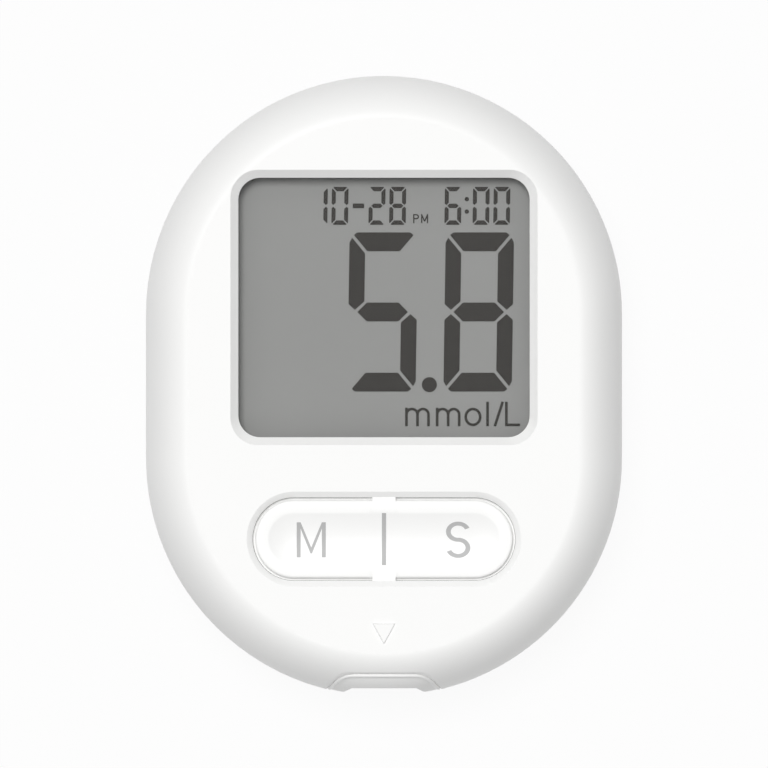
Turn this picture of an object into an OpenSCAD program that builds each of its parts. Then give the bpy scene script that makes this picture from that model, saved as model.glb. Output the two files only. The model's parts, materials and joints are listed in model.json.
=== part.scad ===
// Handheld blood glucose meter, lying on its back with the display up.
// Millimetres. The origin is the centre of the oval outline on the rest face,
// +Y runs to the display end, -Y to the test strip port, +Z out of the display.

/* [Case] */
// Width of the case
body_w = 66; // [65:0.5:72]
// Length of the case
body_l = 86; // [85:0.5:94]
// Wall of both covers
wall_t = 1.8; // [1.6:0.1:2.1]
// Height of the parting line above the rest face
split_z = 9.5; // [9:0.25:10.5]
// How far the front edge's rounding reaches in
rim_run = 6; // [5:0.25:6.5]
// How far the back edge's rounding reaches in
back_run = 9; // [7:0.5:10]
// Thickness of the lip that locks the covers together
lip_t = 0.8; // [0.6:0.1:0.9]
// Height of that lip
lip_h = 1.6; // [1.2:0.1:2]

/* [Display window] */
// Width of the clear opening
win_w = 40.3; // [36:0.1:41]
// Height of the clear opening
win_h = 36; // [32:0.1:36.5]
// Corner radius of the clear opening
win_r = 3; // [2.4:0.1:4]
// Distance from the clear opening to the upper end of the case
win_top = 14; // [13.7:0.1:16]
// Width of the sloping band round the window
band_w = 1.15; // [0.8:0.05:1.5]
// Depth of the sloping band
band_d = 1.2; // [0.8:0.05:1.4]
// Corner radius of the sloping band's outer edge
band_r = 3.8; // [3:0.1:5]
// Thickness of the clear window
lens_t = 1; // [0.8:0.1:1.5]
// How far the window laps behind the cover
lens_lap = 1; // [0.8:0.1:1.2]
// Thickness of the adhesive gasket
gasket_t = 0.2; // [0.1:0.05:0.4]

/* [Display] */
// Air between the window and the display
lcd_air = 0.3; // [0.25:0.05:1]
// Thickness of each display glass
glass_t = 0.8; // [0.6:0.05:1.1]
// Space between the two glasses
glass_space = 0.1; // [0.08:0.01:0.15]
// Thickness of the reflector behind the glass
reflector_t = 0.2; // [0.1:0.05:0.3]
// How far the display reaches past the window on each side
glass_lap = 0.6; // [0.4:0.05:0.8]
// Wall of the frame round the display
frame_wall = 1.2; // [1:0.1:1.4]
// Height of the rubber connectors under the glass
zebra_h = 1.6; // [1.2:0.1:3]
// Width of those connectors
zebra_w = 1.8; // [1.2:0.1:2.4]

/* [Digits] */
// Width of a large digit
digit_w = 9.45; // [8:0.05:9.6]
// Height of a large digit
digit_h = 22; // [18:0.1:22.2]
// Width of a small digit
small_w = 2.3; // [1.8:0.05:2.4]
// Height of a small digit
small_h = 5.25; // [4:0.05:5.3]
// Stroke of the unit's letters
unit_stroke = 0.375; // [0.25:0.025:0.45]

/* [Keys] */
// Length of the pair of keys
key_l = 35.8; // [32:0.1:36.2]
// Width of the keys
key_w = 11; // [9:0.1:12]
// Height of the keys' centre above the case's centre
key_y = -21.25; // [-21.5:0.05:-21]
// Thickness of the keys
key_t = 1.5; // [1.2:0.05:1.7]
// Gap round the keys
key_gap = 0.3; // [0.2:0.05:0.5]
// How far the keys lie below the cover's face
key_sink = 0.45; // [0.3:0.05:0.6]
// Width of the flat rim round the keys' dish
key_rim = 1.7; // [1.2:0.1:2.2]
// Depth of the dish in the keys
dish_d = 0.35; // [0.1:0.05:0.5]
// Width of the sloping band round the keys
key_band_w = 1; // [0.6:0.05:1.3]
// Depth of the sloping band round the keys
key_band_d = 0.5; // [0.3:0.05:0.8]
// Width of the fixed bridge between the two keys
bridge_w = 3.2; // [2.4:0.1:4.2]
// Gap between the bridge and each key
hinge_gap = 0.12; // [0.08:0.02:0.2]
// Distance of each switch from the middle
switch_x = 10.2; // [9.5:0.1:11]
// Width and length of a switch
switch_w = 6; // [5:0.1:6.5]
// Height of a switch
switch_h = 3.4; // [3:0.1:3.6]
// Diameter of a switch's plunger
plunger_d = 3.4; // [3:0.1:3.8]
// Running clearance round a plunger
plunger_fit = 0.05; // [0.02:0.01:0.08]
// How far a key pushes its plunger
key_travel = 0.3; // [0.2:0.05:0.35]

/* [Arrow] */
// Width of the raised arrow
arrow_w = 3.3; // [2.4:0.1:4.5]
// Height of the raised arrow
arrow_h = 2.85; // [2:0.05:4]
// How far the arrow stands out of the cover
arrow_out = 0.25; // [0.1:0.05:0.4]
// Distance from the arrow's point to the lower end of the case
arrow_end = 7.3; // [6.8:0.1:8.5]

/* [Strip port] */
// Distance from the arch's top to the lower end of the case
port_depth = 3.1; // [2.9:0.05:3.3]
// Width of the arch's flat top
port_flat = 9.4; // [9:0.1:10.5]
// Radius of the arch's shoulders
port_round = 2.6; // [2:0.1:3.2]
// Height of the port's underside
port_z = 6; // [5:0.25:6.5]
// Depth of the notch in the port's lower edge
notch_d = 1; // [0.7:0.05:1.2]
// Width of the notch's flat
notch_w = 8.8; // [8:0.1:9.4]
// Width of the slot for the test strip
slot_w = 7.4; // [6:0.1:7.8]
// Height of the slot
slot_h = 1.4; // [1:0.1:1.6]
// Gap between the port and the covers
port_gap = 0.1; // [0.05:0.05:0.2]
// Gap between the strip connector and the battery bay
strip_room = 1.15; // [0.3:0.05:4]

/* [Board] */
// Thickness of the board
board_t = 1.2; // [0.8:0.1:1.6]
// Distance from the board's edge to the case's side
board_edge = 5; // [4.5:0.25:5.5]
// Space between the board and the battery bay
board_gap = 0.3; // [0.2:0.05:1]
// Diameter of the sounder
buzzer_d = 10; // [8:0.5:10.5]

/* [Batteries] */
// Diameter of a cell
cell_d = 10.5; // [9.5:0.1:11.2]
// Length of a cell with its button
cell_l = 44.5; // [43:0.1:46]
// Clearance round the cells
cell_gap = 0.3; // [0.2:0.05:0.5]
// Gap between the two cells
cell_apart = 0.4; // [0.2:0.1:1]
// Length of a pressed battery spring
spring_l = 3.6; // [3.4:0.1:4.5]
// Wire of the battery springs
spring_wire = 0.5; // [0.4:0.05:0.55]
// Turns of a battery spring
spring_turns = 3.5; // [2.5:0.5:3.5]
// Thickness of the contact plates
plate_t = 0.4; // [0.3:0.05:0.6]
// Wall of the battery bay
bay_wall = 1.2; // [0.9:0.1:1.5]
// Roof of the battery bay
roof_t = 1; // [0.8:0.1:1.6]
// Height of the bay's centre above the case's centre
bay_y = 0.5; // [0.25:0.05:1.2]

/* [Battery door] */
// Thickness of the door
door_t = 1.5; // [1.3:0.1:1.8]
// How far the door lies inside the rest face
door_sink = 0.1; // [0.05:0.05:0.2]
// Gap round the door
door_gap = 0.15; // [0.1:0.05:0.3]
// Diameter of the door's hinge pins
pin_d = 1; // [0.8:0.1:1.1]
// Width of the door's latch
latch_w = 7; // [5:0.5:9]
// Thickness of the latch's leaves
leaf_t = 0.7; // [0.5:0.05:0.9]
// How far the latch's hook reaches over the cover's edge
hook_bite = 0.3; // [0.2:0.05:0.35]

/* [Fasteners] */
// Diameter of a case screw's thread
screw_d = 2.2; // [1.8:0.1:2.4]
// Length of a case screw under its head
screw_l = 8; // [6:0.5:9]
// Diameter of a case screw's head
head_d = 4; // [3.6:0.1:4.2]
// Diameter of a board screw's thread
board_screw_d = 1.8; // [1.4:0.1:2]

/* [Hidden] */

// Smoothness
round_fn = 96;
small_fn = 32;
rim_steps = 15;
corner_steps = 8;
dish_steps = 6;

// Clearances
seat_gap = 0.15;
slide_gap = 0.05;
thread_gap = 0.02;
eps = 0.01;
over = 1;

// Heights from the rest face up, which add up to the thickness of the case
door_z0 = door_sink;
door_z1 = door_z0 + door_t;
cell_z = door_z1 + cell_gap + cell_d / 2;
roof_z0 = cell_z + cell_d / 2 + cell_gap;
roof_z1 = roof_z0 + roof_t;
board_z0 = roof_z1 + board_gap;
board_z1 = board_z0 + board_t;
lcd_z0 = board_z1 + zebra_h;
rear_glass_z0 = lcd_z0 + reflector_t;
segments_z0 = rear_glass_z0 + glass_t;
front_glass_z0 = segments_z0 + glass_space;
lcd_z1 = front_glass_z0 + glass_t;
lens_z0 = lcd_z1 + lcd_air;
lens_z1 = lens_z0 + lens_t;
ceiling_z = lens_z1 + gasket_t;
body_t = ceiling_z + wall_t;

// Case
side_x = body_w / 2;
case_run = body_l - body_w;
end_y = body_l / 2;
lip_r = side_x - wall_t + lip_t;
win_y = end_y - win_top - win_h / 2;

// Display
lens_w = win_w + 2 * lens_lap;
lens_h = win_h + 2 * lens_lap;
lens_r = win_r + lens_lap / 2;
glass_w = win_w + 2 * glass_lap;
glass_h = win_h + 2 * glass_lap;
frame_w = glass_w + 2 * (frame_wall + seat_gap);
frame_h = glass_h + 2 * (frame_wall + seat_gap);
frame_r = win_r;
frame_z1 = lcd_z1 + 0.2;
frame_ledge = 1;
peg_d = 1.4;
peg_x = frame_w / 2 - 0.9;
peg_y = 8;

// Digits, placed from the window's centre
digit_bar_h = 2.6;
digit_bar_v = 2.18;
digit_bar_gap = 0.3;
digit_lean = 0.015;
small_bar_h = 0.61;
small_bar_v = 0.556;
small_bar_gap = 0.12;
bar_cut = 0.14;
bar_tip = 0.4;
ones_x = 8.21;
tens_x = -5.08;
digit_y = -11.75;
point_at = [6.27, -10.8];
point_d = 2.09;
small_y = 11.3;
small_pitch = 2.86;
month_x = -10.14;
day_x = -2.16;
hour_x = 8.35;
minute_x = 12.24;
dash_at = [-3.53, 13.92];
dash_size = [1.57, 0.65];
colon_x = 11.45;
colon_ys = [13.14, 14.85];
colon_d = 0.61;
afternoon_at = [4.03, 11.53];
afternoon_h = 1.25;
afternoon_stroke = 0.17;
unit_at = [2.92, -16.55];
unit_m_xs = [0, 4.24];
unit_m_w = 3.42;
unit_o_x = 8.19;
unit_o_w = 2.38;
unit_l_x = 11.4;
unit_slash_x = 12.4;
unit_slash_run = 1.1;
unit_capital_x = 14;
unit_capital_w = 1.9;
unit_x_height = 2.57;
unit_ascender = 3.39;
segment_t = 0.06;
reading = [5, 8];
month = [1, 0];
day = [2, 8];
hour = [6];
minute = [0, 0];
// Lit bars of the numerals 0 to 9, numbered clockwise from the top with the middle last
LIT = [
    [0, 1, 2, 3, 4, 5], [1, 2], [0, 1, 6, 4, 3], [0, 1, 6, 2, 3], [5, 6, 1, 2],
    [0, 5, 6, 2, 3], [0, 5, 6, 2, 3, 4], [0, 1, 2], [0, 1, 2, 3, 4, 5, 6],
    [0, 1, 2, 3, 5, 6]
];

// Keys
key_z1 = body_t - key_sink;
key_z0 = key_z1 - key_t;
key_run = key_l - key_w;
key_edge = 0.35;
aperture_r = key_w / 2 + key_gap;
switch_z1 = board_z1 + switch_h;
switch_step = 0.4;
switch_leg = [0.8, 1.2, 0.3];
plunger_z0 = board_z1 + 1.2;
plunger_z1 = switch_z1 + 0.7;
plunger_well_z = plunger_z0 - key_travel - 0.1;
nub_d = 2.4;
tab_l = 2.6;
tab_t = 0.9;
stake_d = 1.2;
stake_y = aperture_r + tab_l / 2;

// Batteries
cell_x = (cell_d + cell_apart) / 2;
bay_x = cell_x + cell_d / 2 + cell_gap;
bay_len = 2 * plate_t + 2 * slide_gap + spring_l + cell_l;
bay_y0 = bay_y - bay_len / 2;
bay_y1 = bay_y + bay_len / 2;
cell_edge = 0.4;
button_d = 3.8;
button_h = 0.9;
plate_w = 8;
plate_leg_w = 2;
spring_r0 = 3.4;
spring_r1 = 2.2;
spring_rings = 8;
spring_sides = 6;

// Strip port
port_y = port_depth - end_y;
notch_y = notch_d - end_y;
notch_slope = 1.6;
port_sink = 0.1;
strip_z = board_z0 - 1.9;
slot_flare = 0.6;
flare_l = 1;
flange_w = 18;
flange_y0 = port_y + 0.7;
flange_t = 1.2;
flange_z0 = port_z + 1.5;
flange_z1 = board_z0 - 0.5;
neck_w = port_flat + port_round;
strip_w = slot_w + 3;
strip_z0 = strip_z - slot_h / 2 - 1.2;
strip_y0 = flange_y0 + flange_t + slide_gap;
strip_y1 = bay_y0 - bay_wall - strip_room;
finger_y0 = strip_y0 + 2;
touch_y0 = strip_y0 + 3;
touch_y1 = strip_y0 + 4;
touch_h = 0.35;
strip_back = 1.8;
finger_xs = [-2.25, -0.75, 0.75, 2.25];
finger_w = 0.6;
finger_t = 0.3;

// Board and what is on it
board_r = side_x - board_edge;
chip_w = 8;
chip_t = 1.4;
under_room = 1;
chip_legs = 8;
chip_leg_w = 0.3;
chip_leg_out = 0.8;
chip_y = -1;
memory_w = 4;
memory_l = 5;
memory_t = 1.3;
memory_y = -4;
crystal_d = 2;
crystal_l = 6;
crystal_y = 5;
buzzer_t = 1.4;
buzzer_rim = 1.5;
buzzer_y = -12;

// Battery door
door_x = bay_x + bay_wall + 0.4;
door_y0 = bay_y0 - bay_wall - 0.4;
hinge_y = bay_y1 + bay_wall + 1;
hinge_z = door_z0 + door_t / 2;
pin_l = 1.3;
pin_fit = 0.05;
ledge_w = 2.2;
grip_w = 12;
grip_y = door_y0 + 4;
grip_pitch = 1.6;
grip_line = 0.8;
grip_d = 0.3;
grip_count = 5;
ledge_z0 = door_z1 + slide_gap;
ledge_z1 = door_z1 + 1.6;
leaf_space = 1.8;
leaf_a_y = bay_y0 - bay_wall - 0.3 - leaf_t;
leaf_b_y = leaf_a_y - leaf_space - leaf_t;
leaf_z0 = door_z0 + 0.1;
leaf_z1 = wall_t + 4.4;
leaf_free = 0.1;
latch_side = 0.3;
latch_room = 0.35;
latch_edge_y = leaf_b_y - latch_room;
hook_out = latch_room + hook_bite;
hook_z0 = wall_t + 0.15;
hook_z1 = hook_z0 + 1;
hook_tip = 0.3;
pad_side = 0.6;
pad_out = 0.6;
pad_t = 0.5;
scoop_r = 6;
scoop_d = 1;

// Fasteners
boss_r = screw_d / 2 + 1.3;
head_h = 1.4;
head_z1 = split_z - 3.5;
well_r = head_d / 2 + 0.3;
well_wall = 0.8;
head_edge = 0.3;
cross_l = 2.4;
cross_w = 0.5;
cross_d = 0.7;
pilot_d = screw_l - (split_z - head_z1) + 0.8;
post_r = board_screw_d / 2 + 1.3;
board_head_r = board_screw_d / 2 + 0.9;
board_head_h = 1.1;
board_screw_l = 4.6;
boss_upper = [frame_w / 2 + 1.2 + boss_r, win_y + 1];
boss_lower = [key_l / 2 + key_gap + 1.9 + boss_r, key_y];
post_upper = [10, win_y + frame_h / 2 + 1 + post_r];
post_lower = [10, key_y - aperture_r - 1.3 - post_r];

// Colours
shell_white = "#f7f7f6";
frame_black = "#2c2d30";
metal = "#c9ccd0";
steel = "#9fa3a8";
board_green = "#1f6b43";
switch_grey = "#4a4c50";

// ---------------------------------------------------------------- shapes

// A chain of [distance from the middle, height] points, closed to the middle line
function closed_half(chain) =
    let (first = chain[0], last = chain[len(chain) - 1])
    concat(
        first[0] > 0 ? [[0, first[1]]] : [],
        chain,
        last[0] > 0 ? [[0, last[1]]] : []
    );

// The same chain with its mirror image
function both_halves(chain) = concat(
    chain,
    [for (i = [len(chain) - 1:-1:0]) if (chain[i][0] > 0) [-chain[i][0], chain[i][1]]]
);

// A solid with an oval outline: two half turns of a profile joined by a straight run along Y
module oval_solid(chain, run) {
    for (turn = [0, 180])
        rotate([0, 0, turn])
            translate([0, run / 2, 0])
                rotate_extrude(angle = 180, $fn = round_fn) polygon(closed_half(chain));
    rotate([90, 0, 0])
        linear_extrude(run, center = true) polygon(both_halves(chain));
}

// A plain oval plate of radius r between two heights
module oval_plate(r, z0, z1, run) oval_solid([[r, z0], [r, z1]], run);

// Points of a rounded rectangle
function round_rect(w, h, r) = [
    for (corner = [0:3])
        for (i = [0:corner_steps])
            let (turn = 90 * (corner + i / corner_steps))
            [
                (corner == 0 || corner == 3 ? 1 : -1) * (w / 2 - r) + r * cos(turn),
                (corner < 2 ? 1 : -1) * (h / 2 - r) + r * sin(turn)
            ]
];

module round_plate(w, h, r, z0, z1)
    translate([0, 0, z0]) linear_extrude(z1 - z0) polygon(round_rect(w, h, r));

// A block between two corners
module block(low, high) translate(low) cube(high - low);

// A straight round rod along Z, X or Y
module rod(r, z0, z1) translate([0, 0, z0])
    cylinder(h = z1 - z0, r = r, $fn = small_fn);
module rod_x(r, x0, x1) translate([x0, 0, 0]) rotate([0, 90, 0])
    cylinder(h = x1 - x0, r = r, $fn = small_fn);
module rod_y(r, y0, y1) translate([0, y0, 0]) rotate([-90, 0, 0])
    cylinder(h = y1 - y0, r = r, $fn = small_fn);

// Both places of a pair that lies on either side of the middle
module both_sides(at) for (side = [-1, 1]) translate([side * at[0], at[1], 0]) children();

// ---------------------------------------------------------------- case outline

// A point on a quarter ellipse of the given run and rise, moved in square to its surface
function edge_point(turn, run, rise, inset) =
    let (slope = norm([rise * cos(turn), run * sin(turn)]))
    [
        side_x - run + run * cos(turn) - inset * rise * cos(turn) / slope,
        rise * sin(turn) - inset * run * sin(turn) / slope
    ];

function front_chain(inset) = [
    for (i = [0:rim_steps])
        let (p = edge_point(90 * i / rim_steps, rim_run, body_t - split_z, inset))
        [p[0], split_z + p[1]]
];

function rear_chain(inset) = [
    for (i = [rim_steps:-1:0])
        let (p = edge_point(90 * i / rim_steps, back_run, split_z, inset))
        [p[0], split_z - p[1]]
];

// Everything inside the case's outer surface, drawn in by an inset
module case_volume(inset) oval_solid(
    concat(rear_chain(inset), [for (i = [1:rim_steps]) front_chain(inset)[i]]), case_run
);

// Outline of the port's arch seen from the front, grown by a gap
function arch_outline(grow) =
    let (
        reach = end_y + over,
        shoulder = [
            for (i = [0:corner_steps])
                let (turn = 90 - 45 * i / corner_steps)
                [
                    port_flat / 2 + (port_round + grow) * cos(turn),
                    port_y - port_round + (port_round + grow) * sin(turn)
                ]
        ],
        last = shoulder[corner_steps],
        foot_x = last[0] + last[1] + reach,
        right = concat(shoulder, [[foot_x, -reach]])
    )
    concat(right, [for (i = [len(right) - 1:-1:0]) [-right[i][0], right[i][1]]]);

module arch(grow, z0) translate([0, 0, z0]) linear_extrude(body_t) polygon(arch_outline(grow));

// The notch in the lower end, through which a strip is guided
module notch() {
    half = notch_w / 2;
    drop = end_y + over + notch_y;
    translate([0, 0, -over])
        linear_extrude(body_t + 2 * over)
            polygon([
                [-half, notch_y], [half, notch_y],
                [half + drop * notch_slope, -end_y - over], [-half - drop * notch_slope, -end_y - over]
            ]);
}

// ---------------------------------------------------------------- covers

// Window opening with its sloping band
module window_cut() translate([0, win_y, 0]) {
    round_plate(win_w, win_h, win_r, lens_z1, body_t + over);
    hull() {
        round_plate(win_w, win_h, win_r, body_t - band_d, body_t - band_d + eps);
        round_plate(win_w + 2 * band_w, win_h + 2 * band_w, band_r, body_t, body_t + eps);
    }
    round_plate(win_w + 2 * band_w, win_h + 2 * band_w, band_r, body_t, body_t + over);
}

// Opening for the keys with its sloping band
module key_cut() translate([0, key_y, 0]) rotate([0, 0, 90]) oval_solid(
    [
        [aperture_r, ceiling_z - over],
        [aperture_r, body_t - key_band_d],
        [aperture_r + key_band_w, body_t],
        [aperture_r + key_band_w, body_t + over]
    ],
    key_run
);

module arrow() {
    tip_y = arrow_end - end_y;
    translate([0, 0, body_t - eps])
        linear_extrude(arrow_out + eps)
            polygon([[0, tip_y], [arrow_w / 2, tip_y + arrow_h], [-arrow_w / 2, tip_y + arrow_h]]);
}

module front_shell() difference() {
    oval_solid(front_chain(0), case_run);
    oval_solid(concat([[side_x - wall_t, split_z - over]], front_chain(wall_t)), case_run);
    oval_plate(lip_r + seat_gap, split_z - over, split_z + lip_h + seat_gap, case_run);
    translate([0, win_y, 0]) {
        round_plate(lens_w + 2 * seat_gap, lens_h + 2 * seat_gap, lens_r, lens_z0 - seat_gap, ceiling_z);
        round_plate(
            frame_w + 2 * seat_gap, frame_h + 2 * seat_gap, frame_r,
            board_z1, lens_z0 - seat_gap / 2
        );
    }
}

module front_cover() color(shell_white) difference() {
    union() {
        front_shell();
        for (at = [boss_upper, boss_lower]) both_sides(at) rod(boss_r, split_z, ceiling_z + 0.4);
        for (at = [post_upper, post_lower]) both_sides(at) rod(post_r, board_z1, ceiling_z + 0.4);
        for (side = [-1, 1])
            translate([0, key_y + side * stake_y, 0])
                rod(stake_d / 2, ceiling_z - tab_t - 0.3, ceiling_z + 0.4);
        arrow();
    }
    window_cut();
    key_cut();
    arch(port_gap, port_z - port_gap);
    for (at = [boss_upper, boss_lower])
        both_sides(at) rod(screw_d / 2 + thread_gap, split_z - over, split_z + pilot_d);
    for (at = [post_upper, post_lower])
        both_sides(at) rod(board_screw_d / 2 + thread_gap, board_z1 - over, board_z0 + board_screw_l + 0.4);
}

module rear_shell() difference() {
    oval_solid(rear_chain(0), case_run);
    oval_solid(concat(rear_chain(wall_t), [[side_x - wall_t, split_z + over]]), case_run);
}

module lip() difference() {
    oval_plate(lip_r, split_z - over, split_z + lip_h, case_run);
    oval_plate(side_x - wall_t, split_z - 2 * over, split_z + lip_h + over, case_run);
}

// Walls and roof round the two cells, and the ledge that the door closes against
module battery_bay() {
    block(
        [-bay_x - bay_wall, bay_y0 - bay_wall, ledge_z0],
        [bay_x + bay_wall, bay_y1 + bay_wall, roof_z1]
    );
    block(
        [-door_x - ledge_w, door_y0 - ledge_w, wall_t / 2],
        [door_x + ledge_w, hinge_y + ledge_w, ledge_z1]
    );
}

module bay_space() block([-bay_x, bay_y0, -over], [bay_x, bay_y1, roof_z0]);

// Opening in the back for the door, its latch and a fingertip
module door_cut() {
    block(
        [-door_x - door_gap, door_y0 - door_gap, -over],
        [door_x + door_gap, hinge_y + door_t / 2 + door_gap, ledge_z0]
    );
    block(
        [-latch_w / 2 - latch_side, latch_edge_y, -over],
        [latch_w / 2 + latch_side, bay_y0 - bay_wall - eps, ledge_z1 + over]
    );
    translate([0, latch_edge_y - 0.6, scoop_d - scoop_r])
        rod_x(scoop_r, -latch_w / 2 - latch_side, latch_w / 2 + latch_side);
    translate([0, hinge_y, hinge_z])
        rod_x(pin_d / 2 + pin_fit, -door_x - pin_l - slide_gap, door_x + pin_l + slide_gap);
}

module contact_slot(side) block(
    [side * cell_x - plate_leg_w / 2 - seat_gap, bay_y0 - seat_gap, roof_z0 - over],
    [side * cell_x + plate_leg_w / 2 + seat_gap, bay_y0 + plate_t + seat_gap, board_z1 + over]
);

module rear_cover() color(shell_white) difference() {
    union() {
        rear_shell();
        lip();
        battery_bay();
        for (at = [boss_upper, boss_lower])
            intersection() {
                case_volume(wall_t / 2);
                both_sides(at) rod(well_r + well_wall, 0, split_z);
            }
    }
    bay_space();
    door_cut();
    for (side = [-1, 1]) contact_slot(side);
    for (at = [boss_upper, boss_lower]) both_sides(at) {
        rod(well_r, -over, head_z1);
        rod(screw_d / 2 + seat_gap, head_z1 - over, split_z + over);
    }
    arch(port_gap, port_z - port_gap);
    notch();
}

// ---------------------------------------------------------------- display

module display_window() color("#dfe6ea", 0.35)
    translate([0, win_y, 0]) round_plate(lens_w, lens_h, lens_r, lens_z0, lens_z1);

module window_gasket() color(frame_black)
    translate([0, win_y, 0]) difference() {
        round_plate(lens_w, lens_h, lens_r, lens_z1, ceiling_z);
        round_plate(win_w + 0.4, win_h + 0.4, win_r + 0.2, lens_z1 - over, ceiling_z + over);
    }

module lcd_frame() color("#e9e9e7") translate([0, win_y, 0]) {
    difference() {
        round_plate(frame_w, frame_h, frame_r, board_z1, frame_z1);
        block(
            [-glass_w / 2 - slide_gap, -glass_h / 2 - slide_gap, lcd_z0],
            [glass_w / 2 + slide_gap, glass_h / 2 + slide_gap, frame_z1 + over]
        );
        block(
            [-glass_w / 2 + frame_ledge, -glass_h / 2 + frame_ledge, board_z1 - over],
            [glass_w / 2 - frame_ledge, glass_h / 2 - frame_ledge, lcd_z0 + over]
        );
    }
    for (side = [-1, 1]) both_sides([peg_x, side * peg_y]) rod(peg_d / 2, board_z0, board_z1 + eps);
}

module glass_plate(z0, z1) translate([0, win_y, 0])
    block([-glass_w / 2, -glass_h / 2, z0], [glass_w / 2, glass_h / 2, z1]);

module lcd_reflector() color("#9b9b99") glass_plate(lcd_z0, rear_glass_z0);
module lcd_rear_glass() color("#979795") glass_plate(rear_glass_z0, segments_z0);
module lcd_front_glass() color("#d4dadb", 0.25) glass_plate(front_glass_z0, lcd_z1);

module zebra_connectors() color("#3a3b3e") translate([0, win_y, 0])
    for (side = [-1, 1])
        translate([0, side * (glass_h / 2 - frame_ledge - slide_gap - zebra_w / 2), 0])
            block(
                [-glass_w / 2 + frame_ledge + seat_gap, -zebra_w / 2, board_z1],
                [glass_w / 2 - frame_ledge - seat_gap, zebra_w / 2, lcd_z0]
            );

// ---------------------------------------------------------------- digits

// Mirror images of a bar's points about a digit's middle lines
function flip_x(points, w) = [for (p = points) [w - p[0], p[1]]];
function flip_y(points, h) = [for (p = points) [p[0], h - p[1]]];

// The seven bars of a digit, clockwise from the top with the middle one last
function digit_bars(w, h, bar_h, bar_v, gap) =
    let (
        middle = h / 2,
        lean = bar_v / bar_h,
        cut = bar_cut * bar_h,
        tip = bar_tip * bar_v,
        top = [
            [gap + cut * lean, h - cut], [gap + cut * (lean + 1.3), h],
            [w - gap - cut * (lean + 1.3), h], [w - gap - cut * lean, h - cut],
            [w - gap - bar_v, h - bar_h], [gap + bar_v, h - bar_h]
        ],
        upper_left = [
            [0, middle + gap + 0.36 * bar_v], [tip, middle + gap],
            [bar_v, middle + gap + 0.53 * bar_v], [bar_v, h - bar_h - gap],
            [cut, h - gap - cut / lean], [0, h - 0.55 * bar_h]
        ],
        centre = [
            [tip + 1.2 * gap, middle], [tip + 1.2 * gap + bar_h / 2, middle + bar_h / 2],
            [w - tip - 1.2 * gap - bar_h / 2, middle + bar_h / 2], [w - tip - 1.2 * gap, middle],
            [w - tip - 1.2 * gap - bar_h / 2, middle - bar_h / 2],
            [tip + 1.2 * gap + bar_h / 2, middle - bar_h / 2]
        ]
    )
    [
        top, flip_x(upper_left, w), flip_y(flip_x(upper_left, w), h), flip_y(top, h),
        flip_y(upper_left, h), upper_left, centre
    ];

// One digit, leaning a little to the right
module digit(value, w, h, bar_h, bar_v, gap) {
    bars = digit_bars(w, h, bar_h, bar_v, gap);
    for (bar = LIT[value])
        polygon([for (p = bars[bar]) [p[0] + digit_lean * p[1], p[1]]]);
}

module large_digit(value) digit(value, digit_w, digit_h, digit_bar_h, digit_bar_v, digit_bar_gap);
module small_number(values)
    for (i = [0:len(values) - 1])
        translate([i * small_pitch, 0])
            digit(values[i], small_w, small_h, small_bar_h, small_bar_v, small_bar_gap);

// A straight stroke between two points
module stroke(from, to, width) {
    along = to - from;
    translate(from) rotate(atan2(along[1], along[0])) translate([0, -width / 2]) square([norm(along), width]);
}

// A curved stroke: part of an elliptical ring whose outer radii are given
module curve(at, radii, width, from, to) {
    steps = 16;
    function rim(inset) = [
        for (i = [0:steps])
            let (turn = from + (to - from) * i / steps)
            [at[0] + (radii[0] - inset) * cos(turn), at[1] + (radii[1] - inset) * sin(turn)]
    ];
    inner = rim(width);
    polygon(concat(rim(0), [for (i = [steps:-1:0]) inner[i]]));
}

module letter_m(width, x_height, line) {
    pitch = (width - line) / 2;
    bend = (pitch + line) / 2;
    stroke([line / 2, 0], [line / 2, x_height], line);
    for (i = [0, 1]) {
        curve([i * pitch + bend, x_height - bend], [bend, bend], line, 0, 180);
        stroke([(i + 1) * pitch + line / 2, 0], [(i + 1) * pitch + line / 2, x_height - bend + eps], line);
    }
}

// The unit of the reading, millimoles per litre
module unit_mark() {
    line = unit_stroke;
    for (x = unit_m_xs) translate([x, 0]) letter_m(unit_m_w, unit_x_height, line);
    for (turn = [0, 180])
        curve(
            [unit_o_x + unit_o_w / 2, unit_x_height / 2],
            [unit_o_w / 2, unit_x_height / 2],
            line, turn, turn + 180
        );
    stroke([unit_l_x, 0], [unit_l_x, unit_ascender], line);
    stroke([unit_slash_x, 0], [unit_slash_x + unit_slash_run, unit_ascender], line);
    stroke([unit_capital_x, 0], [unit_capital_x, unit_ascender], line);
    stroke([unit_capital_x - line / 2, line / 2], [unit_capital_x + unit_capital_w, line / 2], line);
}

// The small afternoon mark beside the date
module afternoon_mark() {
    line = afternoon_stroke;
    h = afternoon_h;
    bowl = 0.36;
    stroke([line / 2, 0], [line / 2, h], line);
    stroke([0, h - line / 2], [0.45, h - line / 2], line);
    stroke([0, h - 2 * bowl + line / 2], [0.45, h - 2 * bowl + line / 2], line);
    curve([0.45 - eps, h - bowl], [bowl, bowl], line, -90, 90);
    for (x = [1.1, 1.9]) stroke([x + line / 2, 0], [x + line / 2, h], line);
    stroke([1.1 + line / 2, h - line / 2], [1.5 + line / 2, 0.25], line);
    stroke([1.9 + line / 2, h - line / 2], [1.5 + line / 2, 0.25], line);
}

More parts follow.
